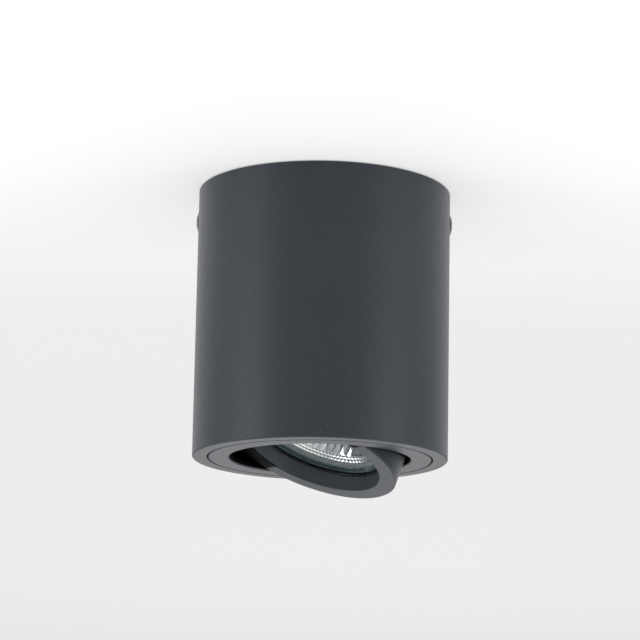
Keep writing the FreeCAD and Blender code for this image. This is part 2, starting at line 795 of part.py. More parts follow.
# --- Lamp ring, in the lamp's frame --------------------------------------------------------------
def lamp_ring():
    face = ring_face_s
    top = face + ring_height
    groove_low = lamp_front_s - clip_wire_diameter - clip_groove_clearance
    groove_radius = lamp_radius - clip_overlap + clip_wire_diameter + clip_groove_clearance
    shoulder = lamp_rim_back_s + lamp_seat_gap
    shoulder_top = shoulder + lamp_shoulder_height
    tube_outer = bore_radius + ring_wall
    hollow_floor = face + ring_face_thickness
    body = turned([
        (mouth_radius + bore_edge_chamfer, face), (ring_radius - ring_edge_chamfer, face),
        (ring_radius, face + ring_edge_chamfer), (ring_radius, top), (ring_radius - ring_wall, top),
        (ring_radius - ring_wall, hollow_floor), (tube_outer, hollow_floor), (tube_outer, shoulder_top),
        (bore_radius - lamp_shoulder_width, shoulder_top), (bore_radius - lamp_shoulder_width, shoulder),
        (bore_radius, shoulder), (bore_radius, lamp_front_s), (groove_radius, lamp_front_s),
        (groove_radius, groove_low), (bore_radius, groove_low), (mouth_radius, face + bore_edge_chamfer),
    ])
    boss_radius = pivot_boss_diameter / 2
    lug_corner = stop_lug_corner()
    for side in (-1, 1):
        boss_root = point(0, side * (tube_outer - ring_wall / 2), 0)
        body = body.fuse(rod(boss_radius, boss_root, point(0, side * pivot_flat, 0)))
        beyond = side * 2 * ring_radius
        spot = rod(boss_radius, point(0, side * pivot_flat, 0), point(0, beyond, 0))
        body = body.cut(spot)
        hole_end = side * (pivot_flat - pivot_thread_length - thread_clearance)
        body = body.cut(rod(pivot_thread_diameter / 2, point(0, hole_end, 0), point(0, beyond, 0)))
        near, far = sorted((side * (ring_radius - ring_wall), side * (ear_inner + stop_lug_reach)))
        for way in (-1, 1):
            left, right = sorted((way * lug_corner, way * (lug_corner + stop_lug_length)))
            lug_top = stop_lug_base + stop_lug_height
            lug = block(point(left, near, stop_lug_base), point(right, far, lug_top))
            lug_root = washer(2 * ring_radius, ring_radius - ring_wall, 0, top)
            body = body.fuse(lug.common(lug_root))
    return body.removeSplitter()


def stop_lug_corner():
    """Half the gap between the lugs: the lug's top corner meets the ear's side at the tilt limit."""
    limit = math.radians(tilt_limit + stop_margin)
    lug_top = stop_lug_base + stop_lug_height
    return (ear_width / 2 + lug_top * math.sin(limit)) / math.cos(limit)


def pivot_screw(side):
    """A shoulder screw: it turns in the trim's ear and is tight in the lamp ring."""
    head_seat = ear_outer + ear_side_play
    thread = rod(pivot_thread_diameter / 2 - thread_clearance,
                 point(0, 0, pivot_flat - pivot_thread_length), point(0, 0, pivot_flat))
    shoulder = rod(pivot_shoulder_diameter / 2, point(0, 0, pivot_flat), point(0, 0, head_seat))
    head = Part.makeCylinder(pivot_head_diameter / 2, pivot_head_height, point(0, 0, head_seat))
    head = bevelled(head, pivot_head_height / 4, head_seat + pivot_head_height)
    slot_top = head_seat + pivot_head_height
    head = head.cut(slot_cut(pivot_slot_width, pivot_head_diameter, pivot_slot_depth, slot_top))
    return placed(thread.fuse(shoulder).fuse(head), [(X, -side * 90)])


def friction_washers():
    """The nylon washers between the lamp ring and the ears, which hold the tilt."""
    hole = pivot_shoulder_diameter / 2 + pivot_fit_clearance
    washers = []
    for side in (-1, 1):
        disc = washer(friction_washer_diameter / 2, hole, pivot_flat, ear_inner - ear_side_play)
        washers.append(placed(disc, [(X, -side * 90)]))
    return Part.Compound(washers)


def retaining_clip():
    """An open ring of spring wire in the ring's groove, with its two tails bent in."""
    wire_radius = clip_wire_diameter / 2
    radius = lamp_radius - clip_overlap + wire_radius
    s = lamp_front_s - wire_radius - clip_groove_clearance / 2
    bend = clip_bend_radius
    edges = []
    for way in (1, -1):
        angle = way * math.radians(clip_gap_angle / 2)
        outward = point(math.cos(angle), math.sin(angle), 0)
        into_gap = point(math.sin(angle), -math.cos(angle), 0) * way
        ring_end = outward * radius + Z * s
        middle = ring_end - outward * bend
        elbow_end = middle + into_gap * bend
        tip = elbow_end - outward * clip_tail_length
        bow = middle + (outward + into_gap) * (bend * math.sqrt(0.5))
        tail = [Part.LineSegment(tip, elbow_end).toShape(), Part.Arc(elbow_end, bow, ring_end).toShape()]
        edges.append((ring_end, tip, outward, tail))
    (start, tip, outward, first), (end, _, _, last) = edges
    arc = Part.Arc(start, point(-radius, 0, s), end).toShape()
    path = Part.Wire(Part.sortEdges(first + [arc] + last)[0])
    section = Part.Wire(Part.makeCircle(wire_radius, tip, outward))
    clip = path.makePipeShell([section], True, False)
    return placed(clip, [(Z, clip_azimuth)])


# --- Lamp, in the lamp's frame -------------------------------------------------------------------
def bowl_radius(s):
    """The reflector's parabola: radius at a height above the pivot."""
    vertex = bowl_vertex()
    return math.sqrt(max(4 * bowl_focal_length * (vertex - s), 0.0))


def bowl_vertex():
    """Places the parabola so that it meets the rim's inner wall at the back of the rim."""
    rim_inner = lamp_radius - lamp_glass_wall
    return bowl_start() + rim_inner ** 2 / (4 * bowl_focal_length)


def bowl_start():
    return lamp_rim_back_s - lamp_glass_wall / 2


def bowl_curve(offset, low, high, steps=7):
    """A smooth edge along the parabola, moved out by a wall's thickness."""
    points = []
    for i in range(steps):
        s = low + (high - low) * i / (steps - 1)
        points.append(point(bowl_radius(s) + offset, 0, s))
    curve = Part.BSplineCurve()
    curve.interpolate(points)
    return curve.toShape(), points[0], points[-1]


def lamp_reflector():
    """The glass bowl with its cylindrical rim; the cover sits in a step at the front."""
    rim_inner = lamp_radius - lamp_glass_wall
    back = bowl_vertex() - (bowl_bore / 2) ** 2 / (4 * bowl_focal_length)
    inner, inner_low, inner_high = bowl_curve(0.0, bowl_start(), back)
    step = lamp_radius - lamp_glass_wall / 2
    seat = lamp_front_s + lamp_cover_thickness
    neck_end = base_plane_s - base_height
    outer, outer_low, outer_high = bowl_curve(lamp_glass_wall, lamp_rim_back_s + lamp_glass_wall, back)
    corners_out = [
        point(lamp_radius, 0, lamp_front_s), point(lamp_radius, 0, lamp_rim_back_s),
        point(outer_low.x, 0, lamp_rim_back_s), outer_low,
    ]
    neck = [outer_high, point(outer_high.x, 0, neck_end), point(inner_high.x, 0, neck_end), inner_high]
    front = [
        inner_low, point(rim_inner, 0, seat), point(step, 0, seat), point(step, 0, lamp_front_s),
        point(lamp_radius, 0, lamp_front_s),
    ]
    edges = [Part.LineSegment(a, b).toShape() for a, b in zip(corners_out, corners_out[1:])]
    edges.append(outer)
    edges += [Part.LineSegment(a, b).toShape() for a, b in zip(neck, neck[1:])]
    edges.append(inner)
    edges += [Part.LineSegment(a, b).toShape() for a, b in zip(front, front[1:])]
    wire = Part.Wire(Part.sortEdges(edges)[0])
    return Part.Face(wire).revolve(ORIGIN, Z, 360)


def lamp_cover():
    """The front glass, set into the rim."""
    radius = lamp_radius - lamp_glass_wall / 2 - lamp_seat_gap
    disc = Part.makeCylinder(radius, lamp_cover_thickness - lamp_seat_gap, point(0, 0, lamp_front_s))
    return bevelled(disc, lamp_cover_thickness / 6, lamp_front_s)


def lamp_base():
    """The ceramic base between the bowl's neck and the pins."""
    low = base_plane_s - base_height
    body = stadium(base_length, base_width, low, base_plane_s)
    body = bevelled(body, base_bevel, low)
    slot = block(
        point(-pinch_thickness / 2, -pinch_width / 2, low - cut_margin),
        point(pinch_thickness / 2, pinch_width / 2, base_plane_s - pinch_web),
    )
    return body.cut(slot)


def lamp_pins():
    pins = []
    for side in (-1, 1):
        foot = point(0, side * pin_spacing / 2, base_plane_s)
        neck = Part.makeCylinder(pin_neck_diameter / 2, pin_length - pin_head_height / 2, foot)
        head_foot = foot + Z * (pin_length - pin_head_height)
        head = Part.makeCylinder(pin_head_diameter / 2, pin_head_height, head_foot)
        head = bevelled(head, pin_head_height / 6, base_plane_s + pin_length)
        pins.append(neck.fuse(head))
    return Part.Compound(pins)


def lamp_burner():
    """The quartz capsule: a domed tube that ends in a flat pinch, held in the base."""
    radius = burner_diameter / 2
    tip = base_plane_s - base_height - burner_length
    shoulder = tip + burner_length - radius
    outside = Part.makeCylinder(radius, shoulder - tip - radius, point(0, 0, tip + radius))
    outside = outside.fuse(Part.makeSphere(radius, point(0, 0, tip + radius)))
    outside = outside.fuse(Part.makeSphere(radius, point(0, 0, shoulder)))
    inner = radius - burner_wall
    hollow = Part.makeCylinder(inner, shoulder - tip - radius, point(0, 0, tip + radius))
    hollow = hollow.fuse(Part.makeSphere(inner, point(0, 0, tip + radius)))
    hollow = hollow.fuse(Part.makeSphere(inner, point(0, 0, shoulder)))
    gap = lamp_seat_gap
    pinch = block(
        point(-pinch_thickness / 2 + gap, -pinch_width / 2 + gap, shoulder + inner),
        point(pinch_thickness / 2 - gap, pinch_width / 2 - gap, base_plane_s - pinch_web - gap),
    )
    return outside.fuse(pinch).cut(hollow).removeSplitter()


def lamp_filament():
    """The filament across the capsule, on its two lead wires."""
    radius = burner_diameter / 2
    tip = base_plane_s - base_height - burner_length
    s = tip + radius + filament_length / 2
    foot = tip + burner_length - radius
    coil = rod(filament_diameter / 2, point(0, -filament_length / 2, s), point(0, filament_length / 2, s))
    for side in (-1, 1):
        end = side * (filament_length / 2 - filament_lead_diameter)
        coil = coil.fuse(rod(filament_lead_diameter / 2, point(0, end, s), point(0, end, foot)))
    return coil


# --- Lampholder, in the lamp's frame -------------------------------------------------------------
def holder_body():
    low, top = base_plane_s, cover_low_s
    body = stadium(holder_length, holder_width, low, top)
    body = bevelled(body, holder_bevel, low)
    body = body.cut(stadium(
        holder_length - 4 * holder_wall, holder_width - 2 * holder_wall, holder_floor_s, top + cut_margin,
    ))
    slot_radius = pin_head_diameter / 2 + pin_slot_clearance
    cut_low, cut_high = low - cut_margin, holder_floor_s + cut_margin
    ring = washer(pin_spacing / 2 + slot_radius, pin_spacing / 2 - slot_radius, cut_low, cut_high)
    height = cut_high - cut_low
    for side in (0, 180):
        locked = Part.makeCylinder(slot_radius, height, point(0, pin_spacing / 2, cut_low))
        wedge = Part.makeCylinder(holder_width, height, point(0, 0, cut_low), Z, pin_slot_twist)
        path = ring.common(placed(wedge, [(Z, 90)]))
        cut = locked.fuse(placed(locked, [(Z, pin_slot_twist)])).fuse(path)
        body = body.cut(placed(cut, [(Z, side)]))
    for side in (-1, 1):
        hole = Part.makeCylinder(
            cover_screw_diameter / 2, cover_screw_length + cut_margin,
            point(0, side * cover_screw_place(), top - cover_screw_length),
        )
        body = body.cut(hole)
    return body


def cover_screw_place():
    return holder_length / 2 - holder_wall


def holder_contacts():
    """The two spring leaves beside the pin heads, each with a barrel for its wire."""
    low = holder_floor_s
    crimp_low = low + contact_height
    half = contact_width / 2
    leaves = []
    for side in (-1, 1):
        near, far = sorted((side * contact_y, side * (contact_y + contact_thickness)))
        leaf = block(point(-half, near, low), point(half, far, crimp_low))
        near, far = sorted((side * contact_y, side * (contact_y + contact_foot)))
        foot = block(point(-half, near, low), point(half, far, low + contact_thickness))
        centre = point(0, side * lead_hole_y, crimp_low - contact_thickness)
        bore = lead_diameter / 2 + tube_seat_clearance
        barrel = Part.makeCylinder(bore + barrel_wall, barrel_length, centre)
        wire_hole = Part.makeCylinder(bore, barrel_length, centre + Z * 2 * contact_thickness)
        leaves.append(leaf.fuse(foot).fuse(barrel).cut(wire_hole))
    return Part.Compound(leaves)


def holder_cover():
    plate = stadium(holder_length, holder_width, cover_low_s, holder_top_s)
    height = 3 * holder_cover_thickness
    low = cover_low_s - holder_cover_thickness
    for side in (-1, 1):
        wire_hole = sleeve_diameter / 2 + cover_hole_clearance
        plate = plate.cut(Part.makeCylinder(wire_hole, height, point(0, side * lead_hole_y, low)))
        screw_hole = cover_screw_diameter / 2 + cover_hole_clearance
        plate = plate.cut(Part.makeCylinder(screw_hole, height, point(0, side * cover_screw_place(), low)))
    return plate


def cover_screws():
    screws = []
    for side in (-1, 1):
        screw = slotted_screw(
            cover_screw_diameter - 2 * thread_clearance, cover_screw_length,
            cover_screw_head_diameter, cover_screw_head_height,
        )
        screws.append(placed(screw, [], point(0, side * cover_screw_place(), holder_top_s)))
    return Part.Compound(screws)


# --- Leads between the lampholder and the terminal block -----------------------------------------
def sleeve_start(side):
    """The first, straight run of a sleeve: from the lampholder's cover outwards."""
    y = -side * lead_hole_y
    return [aimed_point(0, y, cover_low_s), aimed_point(0, y, holder_top_s + sleeve_rise)]


def lead_height(share):
    """The height at a share of the free space between the sleeves' rise and the terminal block."""
    return between(sleeve_start(1)[1].z, block_top_z - block_height, share)


def lead_meeting(side):
    """Where a sleeve ends: beside the swivel axis, so that turning the light only twists the pair."""
    return point(0, side * lead_spacing / 2, lead_height(lead_turn_share))


def sleeve_points(side):
    """From the lampholder's cover over to the swivel axis. The bends are steps in the trim's frame."""
    bends = {
        -1: [(-2.63, 1.05, 0.39), (-1.74, 1.09, 0.66), (-0.68, 0.78, 0.64)],
        1: [(-2.60, -0.31, 0.53), (-1.75, 0.12, 0.66), (-0.83, 0.21, 0.64)],
    }
    turn = FreeCAD.Rotation(Z, beam_azimuth)
    points = sleeve_start(side)
    for x, y, share in bends[side]:
        points.append(turn.multVec(point(x * lead_step, y * lead_step, lead_height(share))))
    return points + [lead_meeting(side)]


def heat_sleeves():
    """The glass-fibre sleeves over the lower wires."""
    return Part.Compound([tube(sleeve_points(side), sleeve_diameter, sleeve_bore) for side in (-1, 1)])


def lower_leads():
    """The wires inside the sleeves: from the contacts' barrels to just short of the sleeves' ends."""
    into_barrel = cover_low_s - (holder_floor_s + contact_height + contact_thickness + tube_seat_clearance)
    wires = []
    for side in (-1, 1):
        points = sleeve_points(side)
        wires.append(tube(points, lead_diameter, more_start=into_barrel, more_end=-lead_stub))
    return Part.Compound(wires)


def upper_leads():
    """From inside the sleeves' ends, under the terminal block and round to its first two poles."""
    bends = {
        1: [(-1.70, 0.50, 0.14), (-2.35, 1.15, 0.33), (-2.10, 1.90, 0.58), (-1.35, 2.00, 0.83)],
        -1: [(-2.20, 0.30, 0.08), (-2.90, 1.50, 0.25), (-2.15, 2.50, 0.54), (-0.90, 2.45, 0.83)],
    }
    low = lead_height(lead_turn_share)
    wires = []
    for side, pole, wait in ((1, pole_places()[0], 0.5), (-1, pole_places()[1], 0.65)):
        before, meeting = sleeve_points(side)[-2:]
        heading = (meeting - before).normalize()
        points = [meeting - heading * lead_stub, meeting + heading * lead_bend_wait]
        for x, y, share in bends[side]:
            points.append(point(x * lead_step, y * lead_step, between(low, pole_z, share)))
        points.append(point(pole, block_depth / 2 + wait * lead_step, pole_z))
        points.append(point(pole, lead_end_y, pole_z))
        wires.append(tube(points, lead_diameter))
    return Part.Compound(wires)


# --- All nodes -----------------------------------------------------------------------------------
def fixed_nodes():
    return {
        "housing": housing(),
        "side_screw_left": side_screw(-1),
        "side_screw_right": side_screw(1),
        "ceiling_bracket": ceiling_bracket(),
        "terminal_block": terminal_block(),
        "terminal_tubes": terminal_tubes(),
        "terminal_clamp_screws": clamp_screws(),
        "terminal_block_screws": block_screws(),
        "earth_ring_terminal": ring_terminal(),
        "earth_screw": earth_screw(),
        "earth_lead": earth_lead(),
        "upper_leads": upper_leads(),
        "lower_leads": lower_leads(),
        "heat_sleeves": heat_sleeves(),
    }


def trim_nodes():
    return {
        "trim_ring": trim_ring(),
        "spring_clip_stop": leaf_spring(True),
        "spring_clip_plain": placed(leaf_spring(False), [(Z, 180)]),
        "spring_clip_screws": leaf_screws(),
    }


def lamp_nodes():
    return {
        "lamp_ring": lamp_ring(),
        "pivot_screw_front": pivot_screw(1),
        "pivot_screw_back": pivot_screw(-1),
        "friction_washers": friction_washers(),
        "lamp_retaining_clip": retaining_clip(),
        "lamp_reflector": lamp_reflector(),
        "lamp_cover_glass": lamp_cover(),
        "lamp_base": lamp_base(),
        "lamp_pins": lamp_pins(),
        "lamp_burner": lamp_burner(),
        "lamp_filament": lamp_filament(),
        "holder_body": holder_body(),
        "holder_contacts": holder_contacts(),
        "holder_cover": holder_cover(),
        "holder_cover_screws": cover_screws(),
    }


def main():
    os.makedirs("parts", exist_ok=True)
    nodes = fixed_nodes()
    nodes.update({name: in_trim_frame(shape) for name, shape in trim_nodes().items()})
    nodes.update({name: in_lamp_frame(shape) for name, shape in lamp_nodes().items()})
    for name, shape in nodes.items():
        print(f"{name:24s} solids {len(shape.Solids)} valid {shape.isValid()} volume {shape.Volume:10.2f}")
        shape.exportStep(f"parts/{name}.step")
    print("housing diameter", round(2 * housing_radius, 3), "height", housing_height)


main()
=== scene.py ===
# %% [markdown]
# # A surface mounted ceiling spotlight
# The real light is a powder-coated can under a ceiling. A trim ring turns in its mouth, and a tilting ring
# in the trim ring carries a reflector lamp. The shapes that fit and move come from the CAD model, which
# stays as it is. This file gives every part its finish, and replaces the parts whose real surface is finer
# than a CAD solid: the faceted reflector, the wires, their braided sleeves and the lamp's filament.

# %% Load the frame
import json
import math

import bpy
import numpy as np
from mathutils import Matrix, Vector


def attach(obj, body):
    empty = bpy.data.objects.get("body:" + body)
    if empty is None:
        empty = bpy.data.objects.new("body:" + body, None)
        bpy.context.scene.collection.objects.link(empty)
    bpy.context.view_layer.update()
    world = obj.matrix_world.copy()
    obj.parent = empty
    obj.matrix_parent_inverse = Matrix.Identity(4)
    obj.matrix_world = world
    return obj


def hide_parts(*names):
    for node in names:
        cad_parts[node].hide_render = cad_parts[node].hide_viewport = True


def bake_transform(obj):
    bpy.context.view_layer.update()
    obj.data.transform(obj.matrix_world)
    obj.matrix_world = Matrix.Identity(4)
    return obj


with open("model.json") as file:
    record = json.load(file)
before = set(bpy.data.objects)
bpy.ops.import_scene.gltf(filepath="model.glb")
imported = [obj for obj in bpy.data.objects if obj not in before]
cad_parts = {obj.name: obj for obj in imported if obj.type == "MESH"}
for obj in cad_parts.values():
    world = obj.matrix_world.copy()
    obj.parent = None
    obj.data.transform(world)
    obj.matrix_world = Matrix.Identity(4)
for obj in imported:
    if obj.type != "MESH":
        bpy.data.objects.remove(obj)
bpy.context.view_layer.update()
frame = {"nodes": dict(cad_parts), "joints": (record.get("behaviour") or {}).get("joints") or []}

mm = 0.001
nodes = frame["nodes"]

# %% [markdown]
# ## The camera
# A product photograph is taken from a distance with a long lens, so the can's sides stay nearly parallel.
# The camera is given by its aim, distance, turn, drop and roll, because each of these can be checked
# against the picture by itself, which a matrix can't.

# %% Camera
camera_aim = np.array([-0.93, -0.02, -49.30]) * mm
camera_distance = 1051.15 * mm
camera_turn = math.radians(1.5)            # from straight in front, towards +X
camera_drop = math.radians(12.586)         # below the horizon, looking up
camera_roll = math.radians(1.0743)
camera_lens, sensor_width = 155.80, 36     # in millimetres, as on the camera


def unit(vector):
    """The vector divided by its own length."""
    return np.asarray(vector, float) / np.linalg.norm(vector)


def in_scene(thing):
    """Links an object to the scene and gives it back."""
    bpy.context.scene.collection.objects.link(thing)
    return thing


def make_camera():
    """Places the camera at aim + distance * back, and turns its right and up axes by the roll."""
    across = math.cos(camera_drop)
    back = np.array([across * math.sin(camera_turn), -across * math.cos(camera_turn),
                     -math.sin(camera_drop)])
    level = unit(np.cross(-back, [0, 0, 1]))
    upright = np.cross(level, -back)
    right = level * math.cos(camera_roll) + upright * math.sin(camera_roll)
    up = np.cross(right, -back)
    place = camera_aim + back * camera_distance
    data = bpy.data.cameras.new("photo_camera")
    data.lens = camera_lens
    data.sensor_width = sensor_width
    data.sensor_fit = "HORIZONTAL"
    camera = in_scene(bpy.data.objects.new("photo_camera", data))
    axes = np.column_stack([right, up, back, place])
    camera.matrix_world = Matrix(np.vstack([axes, [0, 0, 0, 1]]).tolist())
    bpy.context.scene.camera = camera
    return place


print("camera at", np.round(make_camera() / mm, 1), "mm")

# %% [markdown]
# ## Meshes from arrays
# Every new surface is a grid of points that numpy works out in one go: rows along the piece, and columns
# round it. The quads only depend on the grid's size, so one helper makes them all. A closed mesh has to
# face outwards, and the sign of its volume tells whether it does.

# %% Grid helpers
def grid_faces(rows, columns, wrap_rows=False):
    """Quads between neighbouring points of a grid whose columns close into rings."""
    row_numbers = np.arange(rows if wrap_rows else rows - 1)
    row, column = np.meshgrid(row_numbers, np.arange(columns), indexing="ij")
    next_row, next_column = (row + 1) % rows, (column + 1) % columns
    corners = [row * columns + column, row * columns + next_column,
               next_row * columns + next_column, next_row * columns + column]
    return np.stack(corners, axis=-1).reshape(-1, 4)


def signed_volume(points, quads):
    """The sum of a . (b x c) / 6 over every quad's two triangles: positive if they point outwards."""
    a, b, c, d = (points[quads[:, i]] for i in range(4))
    first = np.einsum("ij,ij->i", a, np.cross(b, c))
    second = np.einsum("ij,ij->i", a, np.cross(c, d))
    return (first.sum() + second.sum()) / 6


def add_piece(name, points, quads, caps=(), crease=30.0):
    """A mesh object at the origin, smooth except along edges sharper than the crease angle."""
    points = points.reshape(-1, 3)
    middle = points.mean(axis=0)
    turned_in = signed_volume(points - middle, quads) < 0
    faces = (quads[:, ::-1] if turned_in else quads).tolist()
    faces += [list(cap[::-1]) if turned_in else list(cap) for cap in caps]
    mesh = bpy.data.meshes.new(name)
    mesh.from_pydata(points.tolist(), [], faces)
    mesh.shade_smooth()
    mesh.set_sharp_from_angle(angle=math.radians(crease))
    print(name, "points", len(points), "faces", len(faces), "turned" if turned_in else "outward")
    return in_scene(bpy.data.objects.new(name, mesh))


def add_values(piece, name, values, domain="POINT"):
    """A named number on each point or face, for a material to read."""
    layer = piece.data.attributes.new(name, "FLOAT", domain)
    layer.data.foreach_set("value", np.ascontiguousarray(values, np.float32).ravel())

# %% [markdown]
# ## The lamp's own frame
# The lamp, its ring and its holder lie on the beam's axis, which leans from the vertical. The tilt joint
# says where that axis turns and which way it leans. So a point of the lamp's frame (x, y, and s along the
# axis) is tilted about the joint's place and then turned to the beam's side.

# %% Lamp frame
tilt_at_rest = math.radians(22.0)
tilt_joint = next(joint for joint in frame["joints"] if joint["name"] == "tilt")
pivot = np.array(tilt_joint["pos_m"], float)
beam_azimuth = math.atan2(tilt_joint["axis"][0], -tilt_joint["axis"][1])


def from_trim(points):
    """Turns points about Z by the beam's azimuth, into the part's frame."""
    cosine, sine = math.cos(beam_azimuth), math.sin(beam_azimuth)
    turn = np.array([[cosine, -sine, 0], [sine, cosine, 0], [0, 0, 1]])
    return np.asarray(points, float) @ turn.T


def from_lamp(points):
    """Tilts points (x, y, s) back from the beam about the pivot, and then turns them with the trim."""
    cosine, sine = math.cos(tilt_at_rest), math.sin(tilt_at_rest)
    tilt = np.array([[cosine, 0, -sine], [0, 1, 0], [sine, 0, cosine]])
    return from_trim(np.asarray(points, float) @ tilt.T + pivot)


across_beam = from_trim(np.array([0.0, 1.0, 0.0]))
print("beam azimuth", round(math.degrees(beam_azimuth), 2), "pivot", pivot)

# %% [markdown]
# ## Shader groups
# Several finishes share one effect at different scales: a fine grain, drawn lines, a slow change of tone.
# Each effect is a node group, built once, that only gives masks and heights. The shader stays in each
# material, where its fixed values can be read. All patterns use object coordinates, which are metres
# because every piece sits at the origin.

# %% Node helpers
def wire(source, target):
    """Links an output socket to an input socket. A socket's id_data is the tree that it is in."""
    target.id_data.links.new(source, target)


def add_node(tree, kind, inputs=None, **settings):
    """A node with some of its settings and of its unlinked inputs set."""
    node = tree.nodes.new(kind)
    for key, value in settings.items():
        setattr(node, key, value)
    for key, value in (inputs or {}).items():
        node.inputs[key].default_value = value
    return node


def new_group(name, inputs, outputs):
    """An empty group with float inputs and outputs, and its two end nodes."""
    print("group", name, "with", ", ".join(outputs))
    tree = bpy.data.node_groups.new(name, "ShaderNodeTree")
    for label, value in inputs.items():
        socket = tree.interface.new_socket(label, in_out="INPUT", socket_type="NodeSocketFloat")
        socket.default_value = value
    for label in outputs:
        tree.interface.new_socket(label, in_out="OUTPUT", socket_type="NodeSocketFloat")
    return tree, tree.nodes.new("NodeGroupInput"), tree.nodes.new("NodeGroupOutput")


def maths(tree, operation, first, second):
    """A Math node between two sockets or numbers, and its output."""
    node = add_node(tree, "ShaderNodeMath", operation=operation)
    for slot, value in zip(node.inputs, (first, second)):
        if isinstance(value, (int, float)):
            slot.default_value = value
        else:
            wire(value, slot)
    return node.outputs[0]


def times(first, second):
    """The product of a socket and another socket or a number."""
    return maths(first.id_data, "MULTIPLY", first, second)


def in_range(value, low, high, to_low=0.0, to_high=1.0):
    """A Map Range node that eases a value from one range to another."""
    node = add_node(value.id_data, "ShaderNodeMapRange", interpolation_type="SMOOTHSTEP")
    for label, number in zip(("From Min", "From Max", "To Min", "To Max"), (low, high, to_low, to_high)):
        node.inputs[label].default_value = number
    wire(value, node.inputs["Value"])
    return node.outputs["Result"]


def object_place(tree):
    """The shaded point, in object coordinates."""
    return add_node(tree, "ShaderNodeTexCoord").outputs["Object"]


def texture(tree, kind, place, scale, inputs=None, **settings):
    """A Noise or Voronoi texture whose scale comes from a socket."""
    node = add_node(tree, "ShaderNodeTex" + kind, inputs, **settings)
    wire(place, node.inputs["Vector"])
    wire(scale, node.inputs["Scale"])
    return node


def picked_cells(cells, channel, share, near, far):
    """1 in the middle of a random share of a Voronoi texture's cells, fading from near to far."""
    tree = cells.id_data
    random_value = add_node(tree, "ShaderNodeSeparateColor")
    wire(cells.outputs["Color"], random_value.inputs["Color"])
    picked = maths(tree, "LESS_THAN", random_value.outputs[channel], share)
    return times(picked, in_range(cells.outputs["Distance"], near, far, 1.0, 0.0))

# %% [markdown]
# ### Grain, with specks
# Powder coat is plastic powder that melted into a skin: it keeps a pebbled surface, less than half a
# millimetre from bump to bump, and a few bright specks. A noise gives the pebbles. A Voronoi pattern gives
# every cell its own random value, so a threshold on that value picks a few cells out as specks.

# %% Group: coat_grain
def coat_grain_group():
    tree, start, end = new_group("coat_grain", {"Grains per metre": 2600.0, "Speck share": 0.02},
                                 ["Height", "Tone", "Speck"])
    place, scale = object_place(tree), start.outputs["Grains per metre"]
    fine = texture(tree, "Noise", place, scale, {"Detail": 3.0, "Roughness": 0.55})
    cells = texture(tree, "Voronoi", place, scale, feature="F1")
    dome = maths(tree, "SUBTRACT", 1.0, cells.outputs["Distance"])
    height = maths(tree, "ADD", times(fine.outputs["Fac"], 0.7), times(dome, 0.3))
    speck = picked_cells(cells, "Red", start.outputs["Speck share"], 0.25, 0.5)
    wire(height, end.inputs["Height"])
    wire(in_range(fine.outputs["Fac"], 0.3, 0.7), end.inputs["Tone"])
    wire(speck, end.inputs["Speck"])
    return tree


coat_grain = coat_grain_group()

# %% [markdown]
# ### Slow changes of tone
# Nothing real has one flat colour. A large soft noise shifts the tone by a few percent, and a finer one
# shifts the roughness, as handling and uneven curing do. Nearly every finish here uses it.

# %% Group: slow_tone
def slow_tone_group():
    tree, start, end = new_group("slow_tone", {"Patches per metre": 60.0}, ["Tone", "Smudge"])
    place, scale = object_place(tree), start.outputs["Patches per metre"]
    finer = times(scale, 6.0)
    wide = texture(tree, "Noise", place, scale, {"Detail": 2.0, "Roughness": 0.5})
    close = texture(tree, "Noise", place, finer, {"Detail": 4.0, "Roughness": 0.6})
    wire(in_range(wide.outputs["Fac"], 0.3, 0.7), end.inputs["Tone"])
    wire(in_range(close.outputs["Fac"], 0.35, 0.65), end.inputs["Smudge"])
    return tree


slow_tone = slow_tone_group()

# %% [markdown]
# ### Drawn lines
# Rolled and drawn metal has fine parallel lines. A noise that is stretched along one axis gives them. The
# three inputs are how many features lie in a metre of each axis.

# %% Group: drawn_lines
def drawn_lines_group():
    tree, start, end = new_group("drawn_lines", {"Along X": 40.0, "Along Y": 6000.0, "Along Z": 6000.0},
                                 ["Height", "Tone"])
    scale = add_node(tree, "ShaderNodeCombineXYZ")
    for label, axis in zip(("Along X", "Along Y", "Along Z"), "XYZ"):
        wire(start.outputs[label], scale.inputs[axis])
    stretched = add_node(tree, "ShaderNodeVectorMath", operation="MULTIPLY")
    wire(object_place(tree), stretched.inputs[0])
    wire(scale.outputs["Vector"], stretched.inputs[1])
    lines = add_node(tree, "ShaderNodeTexNoise", {"Scale": 1.0, "Detail": 3.0, "Roughness": 0.65})
    wire(stretched.outputs["Vector"], lines.inputs["Vector"])
    wire(lines.outputs["Fac"], end.inputs["Height"])
    wire(in_range(lines.outputs["Fac"], 0.35, 0.65), end.inputs["Tone"])
    return tree


drawn_lines = drawn_lines_group()

# %% [markdown]
# ### Speckle
# Ceramic and moulded plastic hold small darker grains and shallow pits in their skin. A Voronoi pattern
# gives separate grains of uneven size, which noise alone wouldn't.

# %% Group: speckle
def speckle_group():
    tree, start, end = new_group("speckle", {"Grains per metre": 1800.0, "Share": 0.12},
                                 ["Height", "Grain"])
    place, scale = object_place(tree), start.outputs["Grains per metre"]
    cells = texture(tree, "Voronoi", place, scale, feature="F1")
    skin = texture(tree, "Noise", place, times(scale, 0.6), {"Detail": 3.0})
    grain = picked_cells(cells, "Green", start.outputs["Share"], 0.1, 0.45)
    pitted = maths(tree, "SUBTRACT", skin.outputs["Fac"], times(grain, 0.3))
    wire(pitted, end.inputs["Height"])
    wire(grain, end.inputs["Grain"])
    return tree


speckle = speckle_group()

# %% [markdown]
# ## Finishes
# A finish is a Principled shader with fixed values on its own sockets, a base colour between two tones, a
# roughness that varies a little, and a bump. With a helper for each, a finish only says what is special.

